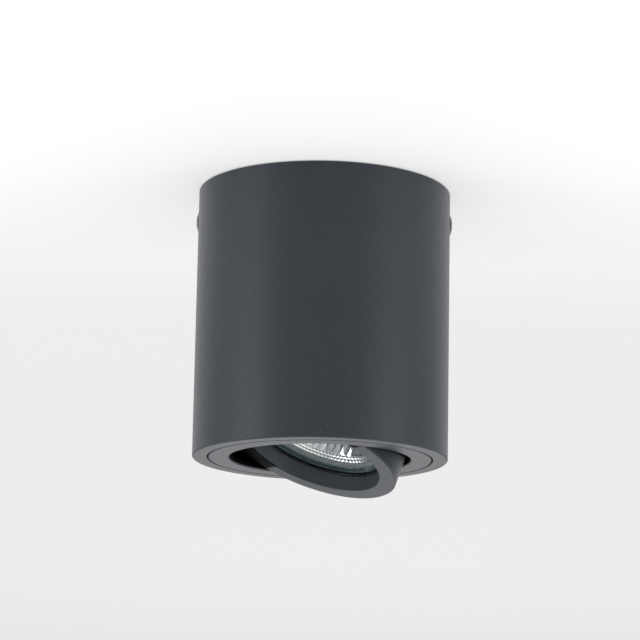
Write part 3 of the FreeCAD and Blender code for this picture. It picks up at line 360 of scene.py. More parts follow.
# %% Finish helpers
def new_finish(name, **fixed):
    """A material whose Principled shader has fixed values on its sockets. An underscore is a space."""
    material = bpy.data.materials.new(name)
    material.use_nodes = True
    tree = material.node_tree
    shader = tree.nodes["Principled BSDF"]
    for label, value in fixed.items():
        shader.inputs[label.replace("_", " ")].default_value = value
    return material, tree, shader


def place_group(tree, group, **inputs):
    """An instance of a group with its inputs set in the same way, and its outputs."""
    node = add_node(tree, "ShaderNodeGroup", node_tree=group)
    for label, value in inputs.items():
        node.inputs[label.replace("_", " ")].default_value = value
    return node.outputs


def two_tones(mask, first, second):
    """A colour that goes from the first, where the mask is 0, to the second, where it is 1."""
    mix = add_node(mask.id_data, "ShaderNodeMix", data_type="RGBA")
    for index, colour in ((6, first), (7, second)):
        if isinstance(colour, tuple):
            mix.inputs[index].default_value = (*colour, 1.0)
        else:
            wire(colour, mix.inputs[index])
    wire(mask, mix.inputs[0])
    return mix.outputs[2]


def stored(tree, name):
    """A number that was stored on the piece's points or faces."""
    return add_node(tree, "ShaderNodeAttribute", attribute_name=name).outputs["Fac"]


def paint(shader, mask, first, second):
    """Gives the shader a base colour that goes from the first tone to the second with a mask."""
    wire(two_tones(mask, first, second), shader.inputs["Base Color"])


def roughen(shader, mask, low, high):
    """Gives the shader a roughness that goes from low to high with a mask."""
    wire(in_range(mask, 0.0, 1.0, low, high), shader.inputs["Roughness"])


def bump(shader, height, depth):
    """Gives the shader a bump whose depth is in metres."""
    node = add_node(shader.id_data, "ShaderNodeBump", {"Distance": depth, "Strength": 1.0})
    wire(height, node.inputs["Height"])
    wire(node.outputs["Normal"], shader.inputs["Normal"])


def show_on(material, *names):
    """Puts a finish on CAD nodes, through their objects' material slots."""
    for name in names:
        for slot in nodes[name].material_slots:
            slot.material = material
    print(material.name, "->", ", ".join(names))

# %% [markdown]
# ### Anthracite powder coat
# The can and both rings share one finish: a blue-black powder coat, satin rather than matt, with a fine
# pebble and scattered grey specks. It stays dark where it faces the camera and grows bright towards its
# edges, which a plain dielectric does by itself: its mirror share rises at a grazing angle. Deep in the
# mouth the coat has painted shade: near black, fully metallic so that it reflects nothing, and rougher.
# The tilting ring's bore is a little greyer than the rest.

# %% Powder coat
coat_dark = (0.0100, 0.0148, 0.0215)
coat_light = (0.0190, 0.0262, 0.0360)
# painted shade: the near-black colour for the shadowed inside of the can's mouth
painted_shade_colour = (0.0030, 0.0034, 0.0040)
coat_bore = (0.062, 0.074, 0.082)
speck_colour = (0.055, 0.064, 0.076)
# where the painted shade goes: its heights, its radius and its fades
inside_low, inside_high, inside_radius = -102.9 * mm, -70.0 * mm, 41.0 * mm
inside_fade_low, inside_fade_high, inside_fade_out = 0.8 * mm, 15.0 * mm, 1.0 * mm
bore_start_s, bore_end_s, bore_coat_radius, bore_fade = -8.3 * mm, 9.5 * mm, 27.5 * mm, 0.4 * mm


def bore_mask(place):
    """1 in the tilting ring's bore. With q = p - pivot, s = q . beam and the radius is sqrt(q . q - s s)."""
    tree = place.id_data
    from_pivot = add_node(tree, "ShaderNodeVectorMath", operation="SUBTRACT")
    from_pivot.inputs[1].default_value = tuple(pivot)
    wire(place, from_pivot.inputs[0])
    along = add_node(tree, "ShaderNodeVectorMath", operation="DOT_PRODUCT")
    along.inputs[1].default_value = tuple(from_lamp(np.array([0, 0, 1.0])) - pivot)
    wire(from_pivot.outputs[0], along.inputs[0])
    length = add_node(tree, "ShaderNodeVectorMath", operation="LENGTH")
    wire(from_pivot.outputs[0], length.inputs[0])
    s, far = along.outputs["Value"], length.outputs["Value"]
    radius = maths(tree, "SQRT", maths(tree, "SUBTRACT", times(far, far), times(s, s)), 0.0)
    behind = in_range(s, bore_start_s, bore_start_s + bore_fade)
    in_ring = times(behind, maths(tree, "LESS_THAN", s, bore_end_s))
    return times(in_ring, maths(tree, "LESS_THAN", radius, bore_coat_radius))


def painted_shade_mask(place):
    """1 deep inside the can's mouth, above the rings' faces, where the shade inside the can is painted."""
    tree = place.id_data
    split = add_node(tree, "ShaderNodeSeparateXYZ")
    wire(place, split.inputs["Vector"])
    squares = [times(split.outputs[axis], split.outputs[axis]) for axis in "XY"]
    radius = maths(tree, "SQRT", maths(tree, "ADD", *squares), 0.0)
    above = in_range(split.outputs["Z"], inside_low, inside_low + inside_fade_low)
    below = in_range(split.outputs["Z"], inside_high, inside_high - inside_fade_high)
    within = in_range(radius, inside_radius + inside_fade_out, inside_radius)
    return times(times(above, below), within)


def powder_coat_finish():
    material, tree, shader = new_finish("anthracite_powder_coat", IOR=1.5)
    grain = place_group(tree, coat_grain, Grains_per_metre=3200.0, Speck_share=0.10)
    tone = place_group(tree, slow_tone, Patches_per_metre=45.0)
    pebbled = two_tones(grain["Tone"], coat_dark, coat_light)
    coated = two_tones(times(tone["Tone"], 0.35), pebbled, coat_light)
    speckled = two_tones(grain["Speck"], coated, speck_colour)
    place = object_place(tree)
    bore = bore_mask(place)
    # painted shade: deep in the mouth the colour goes near black, Metallic goes to 1 so no reflection shows,
    # and roughness rises
    inside = times(painted_shade_mask(place), maths(tree, "SUBTRACT", 1.0, bore))
    outer = two_tones(inside, speckled, painted_shade_colour)
    paint(shader, bore, outer, coat_bore)
    wire(inside, shader.inputs["Metallic"])
    smudged = in_range(tone["Smudge"], 0.0, 1.0, 0.36, 0.38)
    rough = maths(tree, "ADD", smudged, times(inside, 0.4))
    wire(rough, shader.inputs["Roughness"])
    bump(shader, grain["Height"], 0.022 * mm)
    return material


show_on(powder_coat_finish(), "housing", "trim_ring", "lamp_ring")

# %% [markdown]
# ### Black screws
# The side screws and the pivot screws are blackened steel, with the coat's kind of grain at a finer scale.

# %% Black oxide
def black_oxide_finish():
    material, tree, shader = new_finish("black_oxide", Metallic=0.35, IOR=1.6)
    grain = place_group(tree, coat_grain, Grains_per_metre=5200.0, Speck_share=0.004)
    paint(shader, grain["Tone"], (0.010, 0.010, 0.011), (0.026, 0.026, 0.028))
    roughen(shader, grain["Tone"], 0.28, 0.38)
    bump(shader, grain["Height"], 0.006 * mm)
    return material


show_on(black_oxide_finish(), "side_screw_left", "side_screw_right", "pivot_screw_front",
        "pivot_screw_back")

# %% [markdown]
# ### Sheet metal and wire
# The bracket is zinc-plated strip, the springs are blued spring steel, the terminals are brass, and so on.
# These metals differ only in colour, in roughness and in the direction of their rolling or turning lines,
# so one function makes them all.

# %% Drawn metals
def drawn_metal(name, dark, light, rough, lines):
    """A metal of two tones, with lines per metre of X, Y and Z, and stains of its darker tone."""
    material, tree, shader = new_finish(name, Metallic=1.0)
    drawn = place_group(tree, drawn_lines, Along_X=lines[0], Along_Y=lines[1], Along_Z=lines[2])
    tone = place_group(tree, slow_tone, Patches_per_metre=90.0)
    sheet = two_tones(drawn["Tone"], dark, light)
    paint(shader, times(tone["Tone"], 0.45), sheet, dark)
    roughen(shader, tone["Smudge"], *rough)
    bump(shader, drawn["Height"], 0.004 * mm)
    return material


for name, dark, light, rough, lines, pieces in (
    ("zinc_plated_strip", (0.44, 0.45, 0.47), (0.66, 0.67, 0.69), (0.28, 0.42), (45, 4200, 4200),
     ["ceiling_bracket"]),
    ("blued_spring_steel", (0.20, 0.21, 0.24), (0.42, 0.43, 0.46), (0.22, 0.34), (5200, 5200, 60),
     ["spring_clip_stop", "spring_clip_plain"]),
    ("bright_cover_sheet", (0.52, 0.52, 0.52), (0.72, 0.72, 0.71), (0.20, 0.32), (60, 5000, 5000),
     ["holder_cover"]),
    ("bright_zinc", (0.50, 0.52, 0.54), (0.76, 0.77, 0.78), (0.18, 0.30), (1500, 1500, 1500),
     ["terminal_clamp_screws", "terminal_block_screws", "spring_clip_screws", "holder_cover_screws"]),
    ("tinned_copper", (0.50, 0.49, 0.46), (0.70, 0.69, 0.65), (0.26, 0.40), (900, 900, 3000),
     ["earth_ring_terminal", "holder_contacts"]),
    ("turned_brass", (0.50, 0.33, 0.12), (0.76, 0.56, 0.26), (0.20, 0.32), (3200, 600, 3200),
     ["terminal_tubes", "earth_screw"]),
    ("nickel_pin", (0.50, 0.48, 0.45), (0.72, 0.70, 0.66), (0.16, 0.28), (2500, 2500, 700), ["lamp_pins"]),
    ("black_spring_wire", (0.010, 0.010, 0.011), (0.040, 0.040, 0.042), (0.25, 0.36), (1800, 1800, 1800),
     ["lamp_retaining_clip"]),
):
    show_on(drawn_metal(name, dark, light, rough, lines), *pieces)

# %% [markdown]
# ### Ceramic, plastic and nylon
# The lamp's base and its holder are pressed steatite: off-white, dull and faintly speckled. The terminal
# block is natural polyamide, a little see-through, which subsurface scattering gives.

# %% Pale materials
def pale_solid(name, skin, grain_colour, rough, grains, share, depth, **fixed):
    """A pale skin with darker grains in it: so many per metre, a share of them showing."""
    material, tree, shader = new_finish(name, **fixed)
    grain = place_group(tree, speckle, Grains_per_metre=grains, Share=share)
    tone = place_group(tree, slow_tone, Patches_per_metre=120.0)
    shaded = two_tones(tone["Tone"], skin, tuple(0.9 * value for value in skin))
    paint(shader, grain["Grain"], shaded, grain_colour)
    roughen(shader, tone["Smudge"], *rough)
    bump(shader, grain["Height"], depth)
    return material


show_on(pale_solid("pressed_steatite", (0.76, 0.73, 0.66), (0.50, 0.46, 0.40), (0.55, 0.70), 1900.0, 0.10,
                   0.03 * mm), "lamp_base", "holder_body")
show_on(pale_solid("natural_polyamide", (0.80, 0.79, 0.73), (0.66, 0.64, 0.58), (0.34, 0.46), 1400.0, 0.05,
                   0.012 * mm, Subsurface_Weight=0.25, Subsurface_Scale=0.002), "terminal_block")
show_on(pale_solid("nylon_washer", (0.74, 0.73, 0.67), (0.60, 0.58, 0.52), (0.30, 0.42), 2600.0, 0.05,
                   0.008 * mm, Subsurface_Weight=0.2, Subsurface_Scale=0.001), "friction_washers")

# %% [markdown]
# ### Glass
# The lamp's front glass and its quartz capsule are clear, with a very weak tint and a little smudging. The
# front glass has an anti-reflection coat, so hardly any reflection shows on it: a low index of refraction
# stands for that.

# %% Clear glasses
def toned_finish(name, patches, first, second, rough, **fixed):
    """Two close tones in slow patches, and a roughness that varies a little."""
    material, tree, shader = new_finish(name, **fixed)
    tone = place_group(tree, slow_tone, Patches_per_metre=patches)
    paint(shader, tone["Tone"], first, second)
    roughen(shader, tone["Smudge"], *rough)
    return material


show_on(toned_finish("coated_clear_glass", 80.0, (0.97, 0.99, 0.98), (0.9409, 0.9603, 0.9506), (0.0, 0.02),
                     IOR=1.12, Transmission_Weight=1.0), "lamp_cover_glass")
show_on(toned_finish("quartz_glass", 80.0, (0.98, 0.98, 0.99), (0.9506, 0.9506, 0.9603), (0.01, 0.05),
                     IOR=1.46, Transmission_Weight=1.0), "lamp_burner")

# %% [markdown]
# ## The faceted reflector
# The lamp is a pressed glass bowl. Its inside is a paraboloid, aluminised and broken into rows of shallow
# domes that scatter the light. In front of them is a band of small pebbles, and the rim is bare ribbed
# glass. It is all one surface of revolution with relief on it: the profile gives the grid's rows, the angle
# gives its columns, and the relief is added along the profile's normal. Sizes are in millimetres.

# %% Reflector: the profile
lamp_radius = 24.75
rim_inner = 23.25
seat_radius = 24.0
front_s, seat_s, rim_back_s = -1.6, 0.4, 2.6
rib_end_s, pebble_end_s = 2.6, 4.8
vertex_s, focal_length = 27.348, 5.3
bore_radius, neck_end_s = 6.5, 32.9
glass_wall = 1.5
bowl_back_s = vertex_s - bore_radius ** 2 / (4 * focal_length)
bowl_front_s = vertex_s - rim_inner ** 2 / (4 * focal_length)


def bowl(s, offset=0.0):
    """Radius and place on the paraboloid r*r = 4 f (vertex - s), moved out along its normal."""
    s = np.asarray(s, float)
    radius = np.sqrt(4 * focal_length * (vertex_s - np.minimum(s, vertex_s - 0.1)))
    out_r, out_s = np.ones_like(radius), 2 * focal_length / radius
    length = np.hypot(out_r, out_s)
    return np.stack([radius + offset * out_r / length, s + offset * out_s / length], axis=-1)


def even_bowl(low, high, count):
    """Places along the bowl that are the same length apart, from low to high."""
    fine = bowl(np.linspace(low, high, 400))
    run = np.concatenate([[0], np.cumsum(np.hypot(*np.diff(fine, axis=0).T))])
    return np.interp(np.linspace(0, run[-1], count), run, fine[:, 1])


# %% [markdown]
# The profile runs once round the glass wall: up the ribbed rim, along the pebbles and the three rows of
# facets, through the neck, back down the outside and over the front edge. Every second row of pebbles is
# shifted by half a cell, and the facets stand in straight columns.

# %% Reflector: relief and mesh
columns = 864
ribs, pebbles, facets = 144, 96, 48
pebble_rows, facet_rows = 2, 3
rib_height, pebble_height, facet_height = 0.22, 0.14, 0.26
rib_shift = 2.0           # how far a rib leans over its band, along the rim
green_rim_rows = 9        # the profile's last rows: the rim's side and front edge


def domes(around, along, across_count, row_count, height, shift):
    """Domes h (1 - (2u - 1)^2) (1 - (2v - 1)^2) on the cells (u, v) of a band, with odd rows shifted."""
    row = np.minimum(np.floor(along * row_count + 1e-6), row_count - 1)
    v = along * row_count - row
    u = (around / (2 * math.pi) * across_count + shift * (row % 2)) % 1.0
    return height * (1 - (2 * u - 1) ** 2) * (1 - (2 * v - 1) ** 2), u, v


def reflector_profile():
    """Rows (radius, s), with the zone of each: 0 plain, 1 ribs, 2 pebbles, 3 facets."""
    rib_s = np.linspace(seat_s, rib_end_s, 9)[:-1]
    rib_rows = np.stack([np.where(rib_s < bowl_front_s, rim_inner, bowl(rib_s)[:, 0]), rib_s], axis=-1)
    pebble_line = bowl(even_bowl(rib_end_s, pebble_end_s, 6 * pebble_rows + 1)[:-1])
    facet_line = bowl(even_bowl(pebble_end_s, bowl_back_s, 12 * facet_rows + 1))
    neck = np.array([(bore_radius, neck_end_s - 0.2), (bore_radius + 0.2, neck_end_s)])
    collar_start = bowl(bowl_back_s, glass_wall)
    neck_outside = np.array([(collar_start[0] - 0.2, neck_end_s),
                             (collar_start[0], neck_end_s - 0.2), collar_start])
    shell = bowl(even_bowl(rim_back_s + 0.6, bowl_back_s, 14)[::-1][1:], glass_wall)
    rim = np.array([
        (shell[-1, 0] + 0.15, rim_back_s + 0.3), (lamp_radius - 0.3, rim_back_s + 0.12),
        (lamp_radius - 0.08, rim_back_s - 0.02), (lamp_radius, rim_back_s - 0.25),
        (lamp_radius, front_s + 0.2), (lamp_radius - 0.06, front_s + 0.06),
        (lamp_radius - 0.2, front_s), (seat_radius + 0.2, front_s), (seat_radius + 0.06, front_s + 0.06),
        (seat_radius, front_s + 0.2), (seat_radius, seat_s),
    ])
    parts = [rib_rows, pebble_line, facet_line, neck, neck_outside, shell, rim]
    zones = [1, 2, 3, 0, 0, 0, 0]
    return np.concatenate(parts), np.concatenate([np.full(len(p), z) for p, z in zip(parts, zones)])


def share_of(values, zone, wanted):
    """A zone's rows, and how far along it each is: 0 at its first row, 1 at the next zone's first row."""
    inside = np.flatnonzero(zone == wanted)
    run = np.hypot(*np.diff(values[inside[0]:inside[-1] + 2], axis=0).T)
    share = np.concatenate([[0], np.cumsum(run)]) / run.sum()
    return inside, share[:-1]


def make_reflector():
    """Turns the profile about the axis and adds relief: ribs h (1/2 + 1/2 cos(n a - lean))^1.5, and domes."""
    profile, zone = reflector_profile()
    angle = np.arange(columns) * 2 * math.pi / columns
    border = np.zeros((len(profile), columns), bool)
    ridge = np.zeros((len(profile), columns))
    inside, share = share_of(profile, zone, 1)
    lean = rib_shift / rim_inner * ribs * share[:, None]
    fade = np.clip(6 * share * (1 - share), 0, 1)[:, None]
    ridge[inside] = fade * (0.5 + 0.5 * np.cos(ribs * angle[None, :] - lean)) ** 1.5
    relief = rib_height * ridge
    for wanted, count, rows, height, shift in ((2, pebbles, pebble_rows, pebble_height, 0.5),
                                               (3, facets, facet_rows, facet_height, 0.0)):
        inside, share = share_of(profile, zone, wanted)
        relief[inside], u, v = domes(angle[None, :], share[:, None], count, rows, height, shift)
        border[inside] = (np.abs(u - np.round(u)) < 1e-6) | (np.abs(v - np.round(v)) < 1e-6)
    tangent = np.gradient(profile, axis=0)
    normal = np.stack([-tangent[:, 1], tangent[:, 0]], axis=-1)
    normal /= np.linalg.norm(normal, axis=1, keepdims=True)
    radius, s = (profile[:, i:i + 1] + relief * normal[:, i:i + 1] for i in (0, 1))
    points = np.stack([radius * np.cos(angle), radius * np.sin(angle), s], axis=-1)
    quads = grid_faces(len(profile), columns, wrap_rows=True)
    piece = add_piece("lamp_reflector_shell", from_lamp(points.reshape(-1, 3) * mm), quads, crease=40.0)
    add_values(piece, "rib", ridge)
    return piece, zone, border, quads


reflector, row_zone, row_border, reflector_quads = make_reflector()
face_row, face_column = np.divmod(reflector_quads[:, 0], columns)
face_zone = row_zone[face_row]
print("faces by zone", np.bincount(face_zone))

# %% [markdown]
# The domes meet in crisp lines, which smooth shading would round off, so every edge between two points on
# a cell's border is marked sharp. Each face keeps a number of its facet, which sets a painted reflection on
# it: alternate columns of facets are tinted grey-violet or left white, with a random share in each.

# %% Reflector: sharp borders and painted facet reflections
def sharpen(piece, border):
    """Marks the edges whose two ends both lie on a cell's border."""
    edges = piece.data.edges
    ends = np.empty(2 * len(edges), np.int32)
    edges.foreach_get("vertices", ends)
    sharp = np.empty(len(edges), bool)
    edges.foreach_get("use_edge_sharp", sharp)
    on_border = border.ravel()[ends.reshape(-1, 2)].all(axis=1)
    edges.foreach_set("use_edge_sharp", sharp | on_border)
    print(piece.name, "sharp edges", int(on_border.sum()))


def add_facet_painted_reflection(piece):
    """A number per facet for its painted reflection, kept on its faces: alternate columns differ, with a
    seeded random share.
    """
    random = np.random.default_rng(7)
    table = 0.7 * (np.arange(facets + 1) % 2) + 0.3 * random.random((facet_rows, facets + 1))
    inside, share = share_of(reflector_profile()[0], row_zone, 3)
    facet_row = np.zeros(len(row_zone), int)
    facet_row[inside] = np.minimum(np.floor(share * facet_rows + 1e-6), facet_rows - 1)
    facet_column = np.floor(face_column / columns * facets).astype(int)
    tones = np.where(face_zone == 3, table[facet_row[face_row], facet_column], 1.0)
    add_values(piece, "facet_painted_reflection", tones, domain="FACE")


sharpen(reflector, row_border)
add_facet_painted_reflection(reflector)

# %% [markdown]
# ### The reflector's three finishes
# The aluminium stops in front of the pebbles: it is a mirror inside, and a dull silver seen through the
# glass from behind. The rim is bare glass with a green tint. Three materials on one mesh keep them apart.

# %% Reflector: finishes
def mirror_finish():
    """A mirror with painted reflections: its tint differs from facet to facet, with a faint haze."""
    material, tree, shader = new_finish("aluminised_facets", Metallic=0.92)
    tone = place_group(tree, slow_tone, Patches_per_metre=150.0)
    # painted reflection: facet columns tinted grey-violet or white by their stored number
    painted_facet_reflection_colour = two_tones(stored(tree, "facet_painted_reflection"), (0.66, 0.64, 0.72), (1.0, 1.0, 1.0))
    haze = times(tone["Tone"], 0.1)
    paint(shader, haze, painted_facet_reflection_colour, (0.80, 0.79, 0.84))
    roughen(shader, tone["Smudge"], 0.05, 0.10)
    return material


def rim_finish():
    """Green pressed glass with painted highlights: the ridges of its ribs are painted nearly white."""
    material, tree, shader = new_finish("green_rim_glass", IOR=1.5, Transmission_Weight=0.2)
    tone = place_group(tree, slow_tone, Patches_per_metre=120.0)
    green = two_tones(tone["Tone"], (0.07, 0.12, 0.125), (0.13, 0.19, 0.195))
    # painted highlight: the ribs' ridges go to near white, the grooves keep the dark green
    paint(shader, stored(tree, "rib"), green, (0.95, 0.98, 0.97))
    roughen(shader, tone["Smudge"], 0.08, 0.16)
    return material


silvered_back = toned_finish("silvered_glass_back", 110.0, (0.60, 0.61, 0.62), (0.72, 0.73, 0.74),
                             (0.18, 0.30), Metallic=0.85)
for material in (silvered_back, mirror_finish(), rim_finish()):
    reflector.data.materials.append(material)
face_finish = np.select([face_zone == 1, face_zone >= 2], [2, 1], 0)
face_finish[face_row >= len(row_zone) - green_rim_rows] = 2
reflector.data.polygons.foreach_set("material_index", face_finish.astype(np.int32))
print("faces by finish", np.bincount(face_finish))
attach(reflector, "lamp_unit")
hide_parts("lamp_reflector")

# %% [markdown]
# ## Tubes along a path
# Wires, sleeves and the filament are all tubes. A ring of points is carried along the path, and it must
# not spin on the way, so each ring starts from one fixed reference direction: the part of it that is square
# to the path is the ring's first axis. That works wherever the path never runs along the reference.

# %% Tube helpers
def ring_spokes(path, reference, sides):
    """Spokes cos a n1 + sin a n2 round each point, where n1 is the reference made square to the path."""
    tangent = np.gradient(path, axis=0)
    tangent /= np.linalg.norm(tangent, axis=1, keepdims=True)
    first = reference - (tangent @ reference)[:, None] * tangent
    first /= np.linalg.norm(first, axis=1, keepdims=True)
    second = np.cross(tangent, first)
    angle = (np.arange(sides) * 2 * math.pi / sides)[None, :, None]
    return first[:, None] * np.cos(angle) + second[:, None] * np.sin(angle), angle.ravel()


def add_tube(name, path, radius, reference, sides):
    """A closed tube path + r spoke, with a radius at each point of its path."""
    spokes, angle = ring_spokes(path, reference, sides)
    last = (len(path) - 1) * sides
    caps = (list(range(sides - 1, -1, -1)), list(range(last, last + sides)))
    points = path[:, None] + spokes * radius[:, None, None]
    piece = add_piece(name, points, grid_faces(len(path), sides), caps)
    add_values(piece, "round", np.tile(np.cos(angle), len(path)))
    return piece


def smooth_route(points, spacing):
    """Even places on the NURBS line of order 3 with these control points, and their distance along it."""
    curve = bpy.data.curves.new("route", "CURVE")
    curve.dimensions = "3D"
    spline = curve.splines.new("NURBS")
    spline.points.add(len(points) - 1)
    spline.points.foreach_set("co", np.column_stack([points, np.ones(len(points))]).ravel())
    spline.order_u = 3
    spline.use_endpoint_u = True
    spline.resolution_u = 24
    holder = bpy.data.objects.new("route", curve)
    mesh = bpy.data.meshes.new_from_object(holder)
    line = np.empty(3 * len(mesh.vertices))
    mesh.vertices.foreach_get("co", line)
    bpy.data.objects.remove(holder)
    bpy.data.meshes.remove(mesh)
    line = line.reshape(-1, 3)
    run = np.concatenate([[0], np.cumsum(np.linalg.norm(np.diff(line, axis=0), axis=1))])
    even = np.linspace(0, run[-1], max(int(run[-1] / spacing), 2) + 1)
    print("a route of", round(run[-1] / mm, 1), "mm")
    return np.stack([np.interp(even, run, line[:, axis]) for axis in range(3)], axis=-1), even


def join_pieces(name, pieces):
    """One object from several, with their attributes kept."""
    with bpy.context.temp_override(active_object=pieces[0], selected_editable_objects=pieces):
        bpy.ops.object.join()
    pieces[0].name = name
    pieces[0].data.name = name
    return pieces[0]

# %% [markdown]
# ## The filament
# Tungsten wire is wound into a short coil across the capsule, and its ends are two straight legs. One path
# makes all of it: down a leg, round the coil and up the other leg.

# %% Filament
coil_s, foot_s, coil_radius, coil_reach, coil_turns = 22.9, 28.4, 0.55, 2.0, 12
leg_radius, strand_radius, leg_points = 0.22, 0.1, 12


def filament_path():
    """A leg at y = -reach, the helix (R sin a, y, s + R cos a) across the beam, and a leg at y = +reach."""
    angle = np.linspace(0, coil_turns * 2 * math.pi, coil_turns * 20 + 1)
    across = np.linspace(-coil_reach, coil_reach, len(angle))
    coil = np.stack([coil_radius * np.sin(angle), across, coil_s + coil_radius * np.cos(angle)], axis=-1)
    leg = np.linspace(foot_s, coil_s + coil_radius + 0.25, leg_points)
    down, up = (np.stack([0 * leg, 0 * leg + side * coil_reach, leg[::-side]], axis=-1) for side in (-1, 1))
    legs = np.full(leg_points, leg_radius)
    return np.concatenate([down, coil, up]), np.concatenate([legs, np.full(len(coil), strand_radius), legs])


filament_line, filament_radius = filament_path()
filament = add_tube("lamp_filament_coil", from_lamp(filament_line * mm), filament_radius * mm,
                    across_beam, 10)
filament.data.materials.append(drawn_metal("tungsten_wire", (0.18, 0.18, 0.19), (0.34, 0.34, 0.35),
                                           (0.30, 0.45), (3000.0, 3000.0, 3000.0)))
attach(filament, "lamp_unit")
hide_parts("lamp_filament")

# %% [markdown]
# ## Wires and sleeves
# Two silicone-insulated wires run from the lampholder, inside braided glass-fibre sleeves, to the middle of
# the can, where they bend under the terminal block and round to its poles. The sleeves end beside the
# swivel's axis, so turning the light only twists the pair there. Each route has a few points of its own,
# and the wire is a smooth line near them.

# %% Wire routes
lead_radius, sleeve_radius, sleeve_bore_radius = 1.0, 1.6, 1.15
cover_s, sleeve_rise, holder_hole_y = 62.9, 7.5, 7.70
block_low_z, pole_z, pole_face_y, lead_end_y = -13.5, -7.5, 8.5, 1.8
lead_half_spacing, lead_step = 1.75, 10.0
sleeve_end_inset, straight_run, ring_z = 3.0, 6.0, -3.2


def between(low, high, share):
    """The place that is so much of the way from low to high."""
    return low + (high - low) * share


rise_top_z = from_lamp(np.array([0, 0, cover_s + 1.0 + sleeve_rise]) * mm)[2] / mm
meeting_z = between(rise_top_z, block_low_z, 0.6)


def sleeve_route(side):
    """Out of the lampholder's cover, over to the swivel's axis. The bends are steps in the trim's frame."""
    bends = {
        -1: [(-2.63, 1.05, 0.39), (-1.74, 1.09, 0.66), (-0.68, 0.78, 0.64)],
        1: [(-2.60, -0.31, 0.53), (-1.75, 0.12, 0.66), (-0.83, 0.21, 0.64)],
    }
    start = np.array([[0, -side * holder_hole_y, cover_s + rise] for rise in (0, 3.5, 1.0 + sleeve_rise)])
    turn = np.array([(x * lead_step, y * lead_step, between(rise_top_z, block_low_z, share))
                     for x, y, share in bends[side]])
    meeting = [[0, side * lead_half_spacing, meeting_z]]
    return np.concatenate([from_lamp(start * mm), from_trim(turn * mm), np.array(meeting) * mm])


def upper_route(side):
    """On from inside the sleeve's end, under the block and round to its pole."""
    bends = {
        1: [(-1.70, 0.50, 0.14), (-2.35, 1.15, 0.33), (-2.10, 1.90, 0.58), (-1.35, 2.00, 0.83)],
        -1: [(-2.20, 0.30, 0.08), (-2.90, 1.50, 0.25), (-2.15, 2.50, 0.54), (-0.90, 2.45, 0.83)],
    }
    pole_x, wait = (-8.5, 5.0) if side == 1 else (0.0, 6.5)
    before, meeting = sleeve_route(side)[-2:] / mm
    heading = unit(meeting - before)
    points = [meeting - heading * sleeve_end_inset, meeting + heading * straight_run]
    points += [(x * lead_step, y * lead_step, between(meeting_z, pole_z, share))
               for x, y, share in bends[side]]
    points += [(pole_x, y, pole_z) for y in (pole_face_y + wait, pole_face_y + 2.0, lead_end_y)]
    return np.array(points) * mm


def earth_route():
    """From the third pole, round past the block's end, to the ring terminal on the bracket."""
    bends = [(7, 22, 0.12), (11, 30, 0.37), (19, 31, 0.63), (23.5, 24, 0.86)]
    points = [(8.5, lead_end_y, pole_z), (8.5, pole_face_y + 2.0, pole_z), (8.5, 14, pole_z)]
    points += [(x, y, between(pole_z, ring_z, share)) for x, y, share in bends]
    return np.array(points + [(18, 18, ring_z), (18, 7.55, ring_z)]) * mm


print("sleeves rise to z", round(rise_top_z, 2), "and meet at z", round(meeting_z, 2))

# %% [markdown]
# ### Making the tubes
# A wire is one closed tube with slightly rounded ends. A sleeve is a thin tube with a bore, and its braid
# is real relief: two families of threads wind opposite ways, and the product of their waves gives a raised
# lozenge wherever a thread passes over.

# %% Wires
upwards = np.array([0.0, 0.0, 1.0])
end_round, braid_relief, braid_cell, braid_threads = 0.3 * mm, 0.05 * mm, 1.2 * mm, 8


def make_wire(name, route, reference):
    """A tube of the lead's radius, times sqrt(1/2 + d/2e) where an end is nearer than e, at d."""
    path, run = smooth_route(route, 0.6 * mm)
    from_end = np.minimum(run, run[-1] - run) / end_round
    radius = lead_radius * mm * np.sqrt(0.5 + 0.5 * np.clip(from_end, 0, 1))
    return add_tube(name, path, radius, reference, 20)


def make_sleeve(name, route):
    """Radius R + a cos(n phi + k l) cos(n phi - k l) outside, and a plain bore inside."""
    path, run = smooth_route(route, 0.15 * mm)
    spokes, angle = ring_spokes(path, across_beam, 64)
    wave = math.pi / braid_cell * run[:, None]
    braid = np.cos(braid_threads * angle + wave) * np.cos(braid_threads * angle - wave)
    radius = (sleeve_radius - 0.06) * mm + braid_relief * braid
    outside = path[:, None] + spokes * radius[:, :, None]
    inside = path[::-1, None] + spokes[::-1] * (sleeve_bore_radius * mm)
    quads = grid_faces(2 * len(path), len(angle), wrap_rows=True)
    piece = add_piece(name, np.concatenate([outside, inside]), quads)
    add_values(piece, "braid", np.concatenate([braid, np.zeros_like(braid)]))
    return piece


def inner_route(side):
    """A lower wire: from the contact's barrel, through the sleeve, to just short of the sleeve's end."""
    route = sleeve_route(side)
    in_barrel = route[0] + unit(route[0] - route[1]) * straight_run * mm
    last = route[-1] - unit(route[-1] - route[-2]) * sleeve_end_inset * mm
    return np.concatenate([[in_barrel], route[:-1], [last]])


sides = (-1, 1)
sleeves = join_pieces("braided_sleeves", [make_sleeve("sleeve", sleeve_route(side)) for side in sides])
lower = join_pieces("lower_wires", [make_wire("lower", inner_route(side), across_beam) for side in sides])
upper = join_pieces("upper_wires", [make_wire("upper", upper_route(side), upwards) for side in sides])
earth = make_wire("earth_wire", earth_route(), upwards)

# %% [markdown]
# ### Wire finishes
# Silicone insulation is matt and slightly see-through. Glass-fibre braid is off-white, with painted shade
# between its threads, where it is painted darker. The earth wire's two halves follow it round its bends, so
# they come from the stored angle.

# %% Wire finishes
def silicone_finish():
    material, tree, shader = new_finish("silicone_insulation", IOR=1.41, Subsurface_Weight=0.15,
                                        Subsurface_Scale=0.001)
    grain = place_group(tree, speckle, Grains_per_metre=3000.0, Share=0.04)
    tone = place_group(tree, slow_tone, Patches_per_metre=100.0)
    skin = two_tones(tone["Tone"], (0.62, 0.60, 0.56), (0.70, 0.68, 0.64))
    paint(shader, grain["Grain"], skin, (0.50, 0.48, 0.44))
    roughen(shader, tone["Smudge"], 0.42, 0.55)
    bump(shader, grain["Height"], 0.004 * mm)
    return material


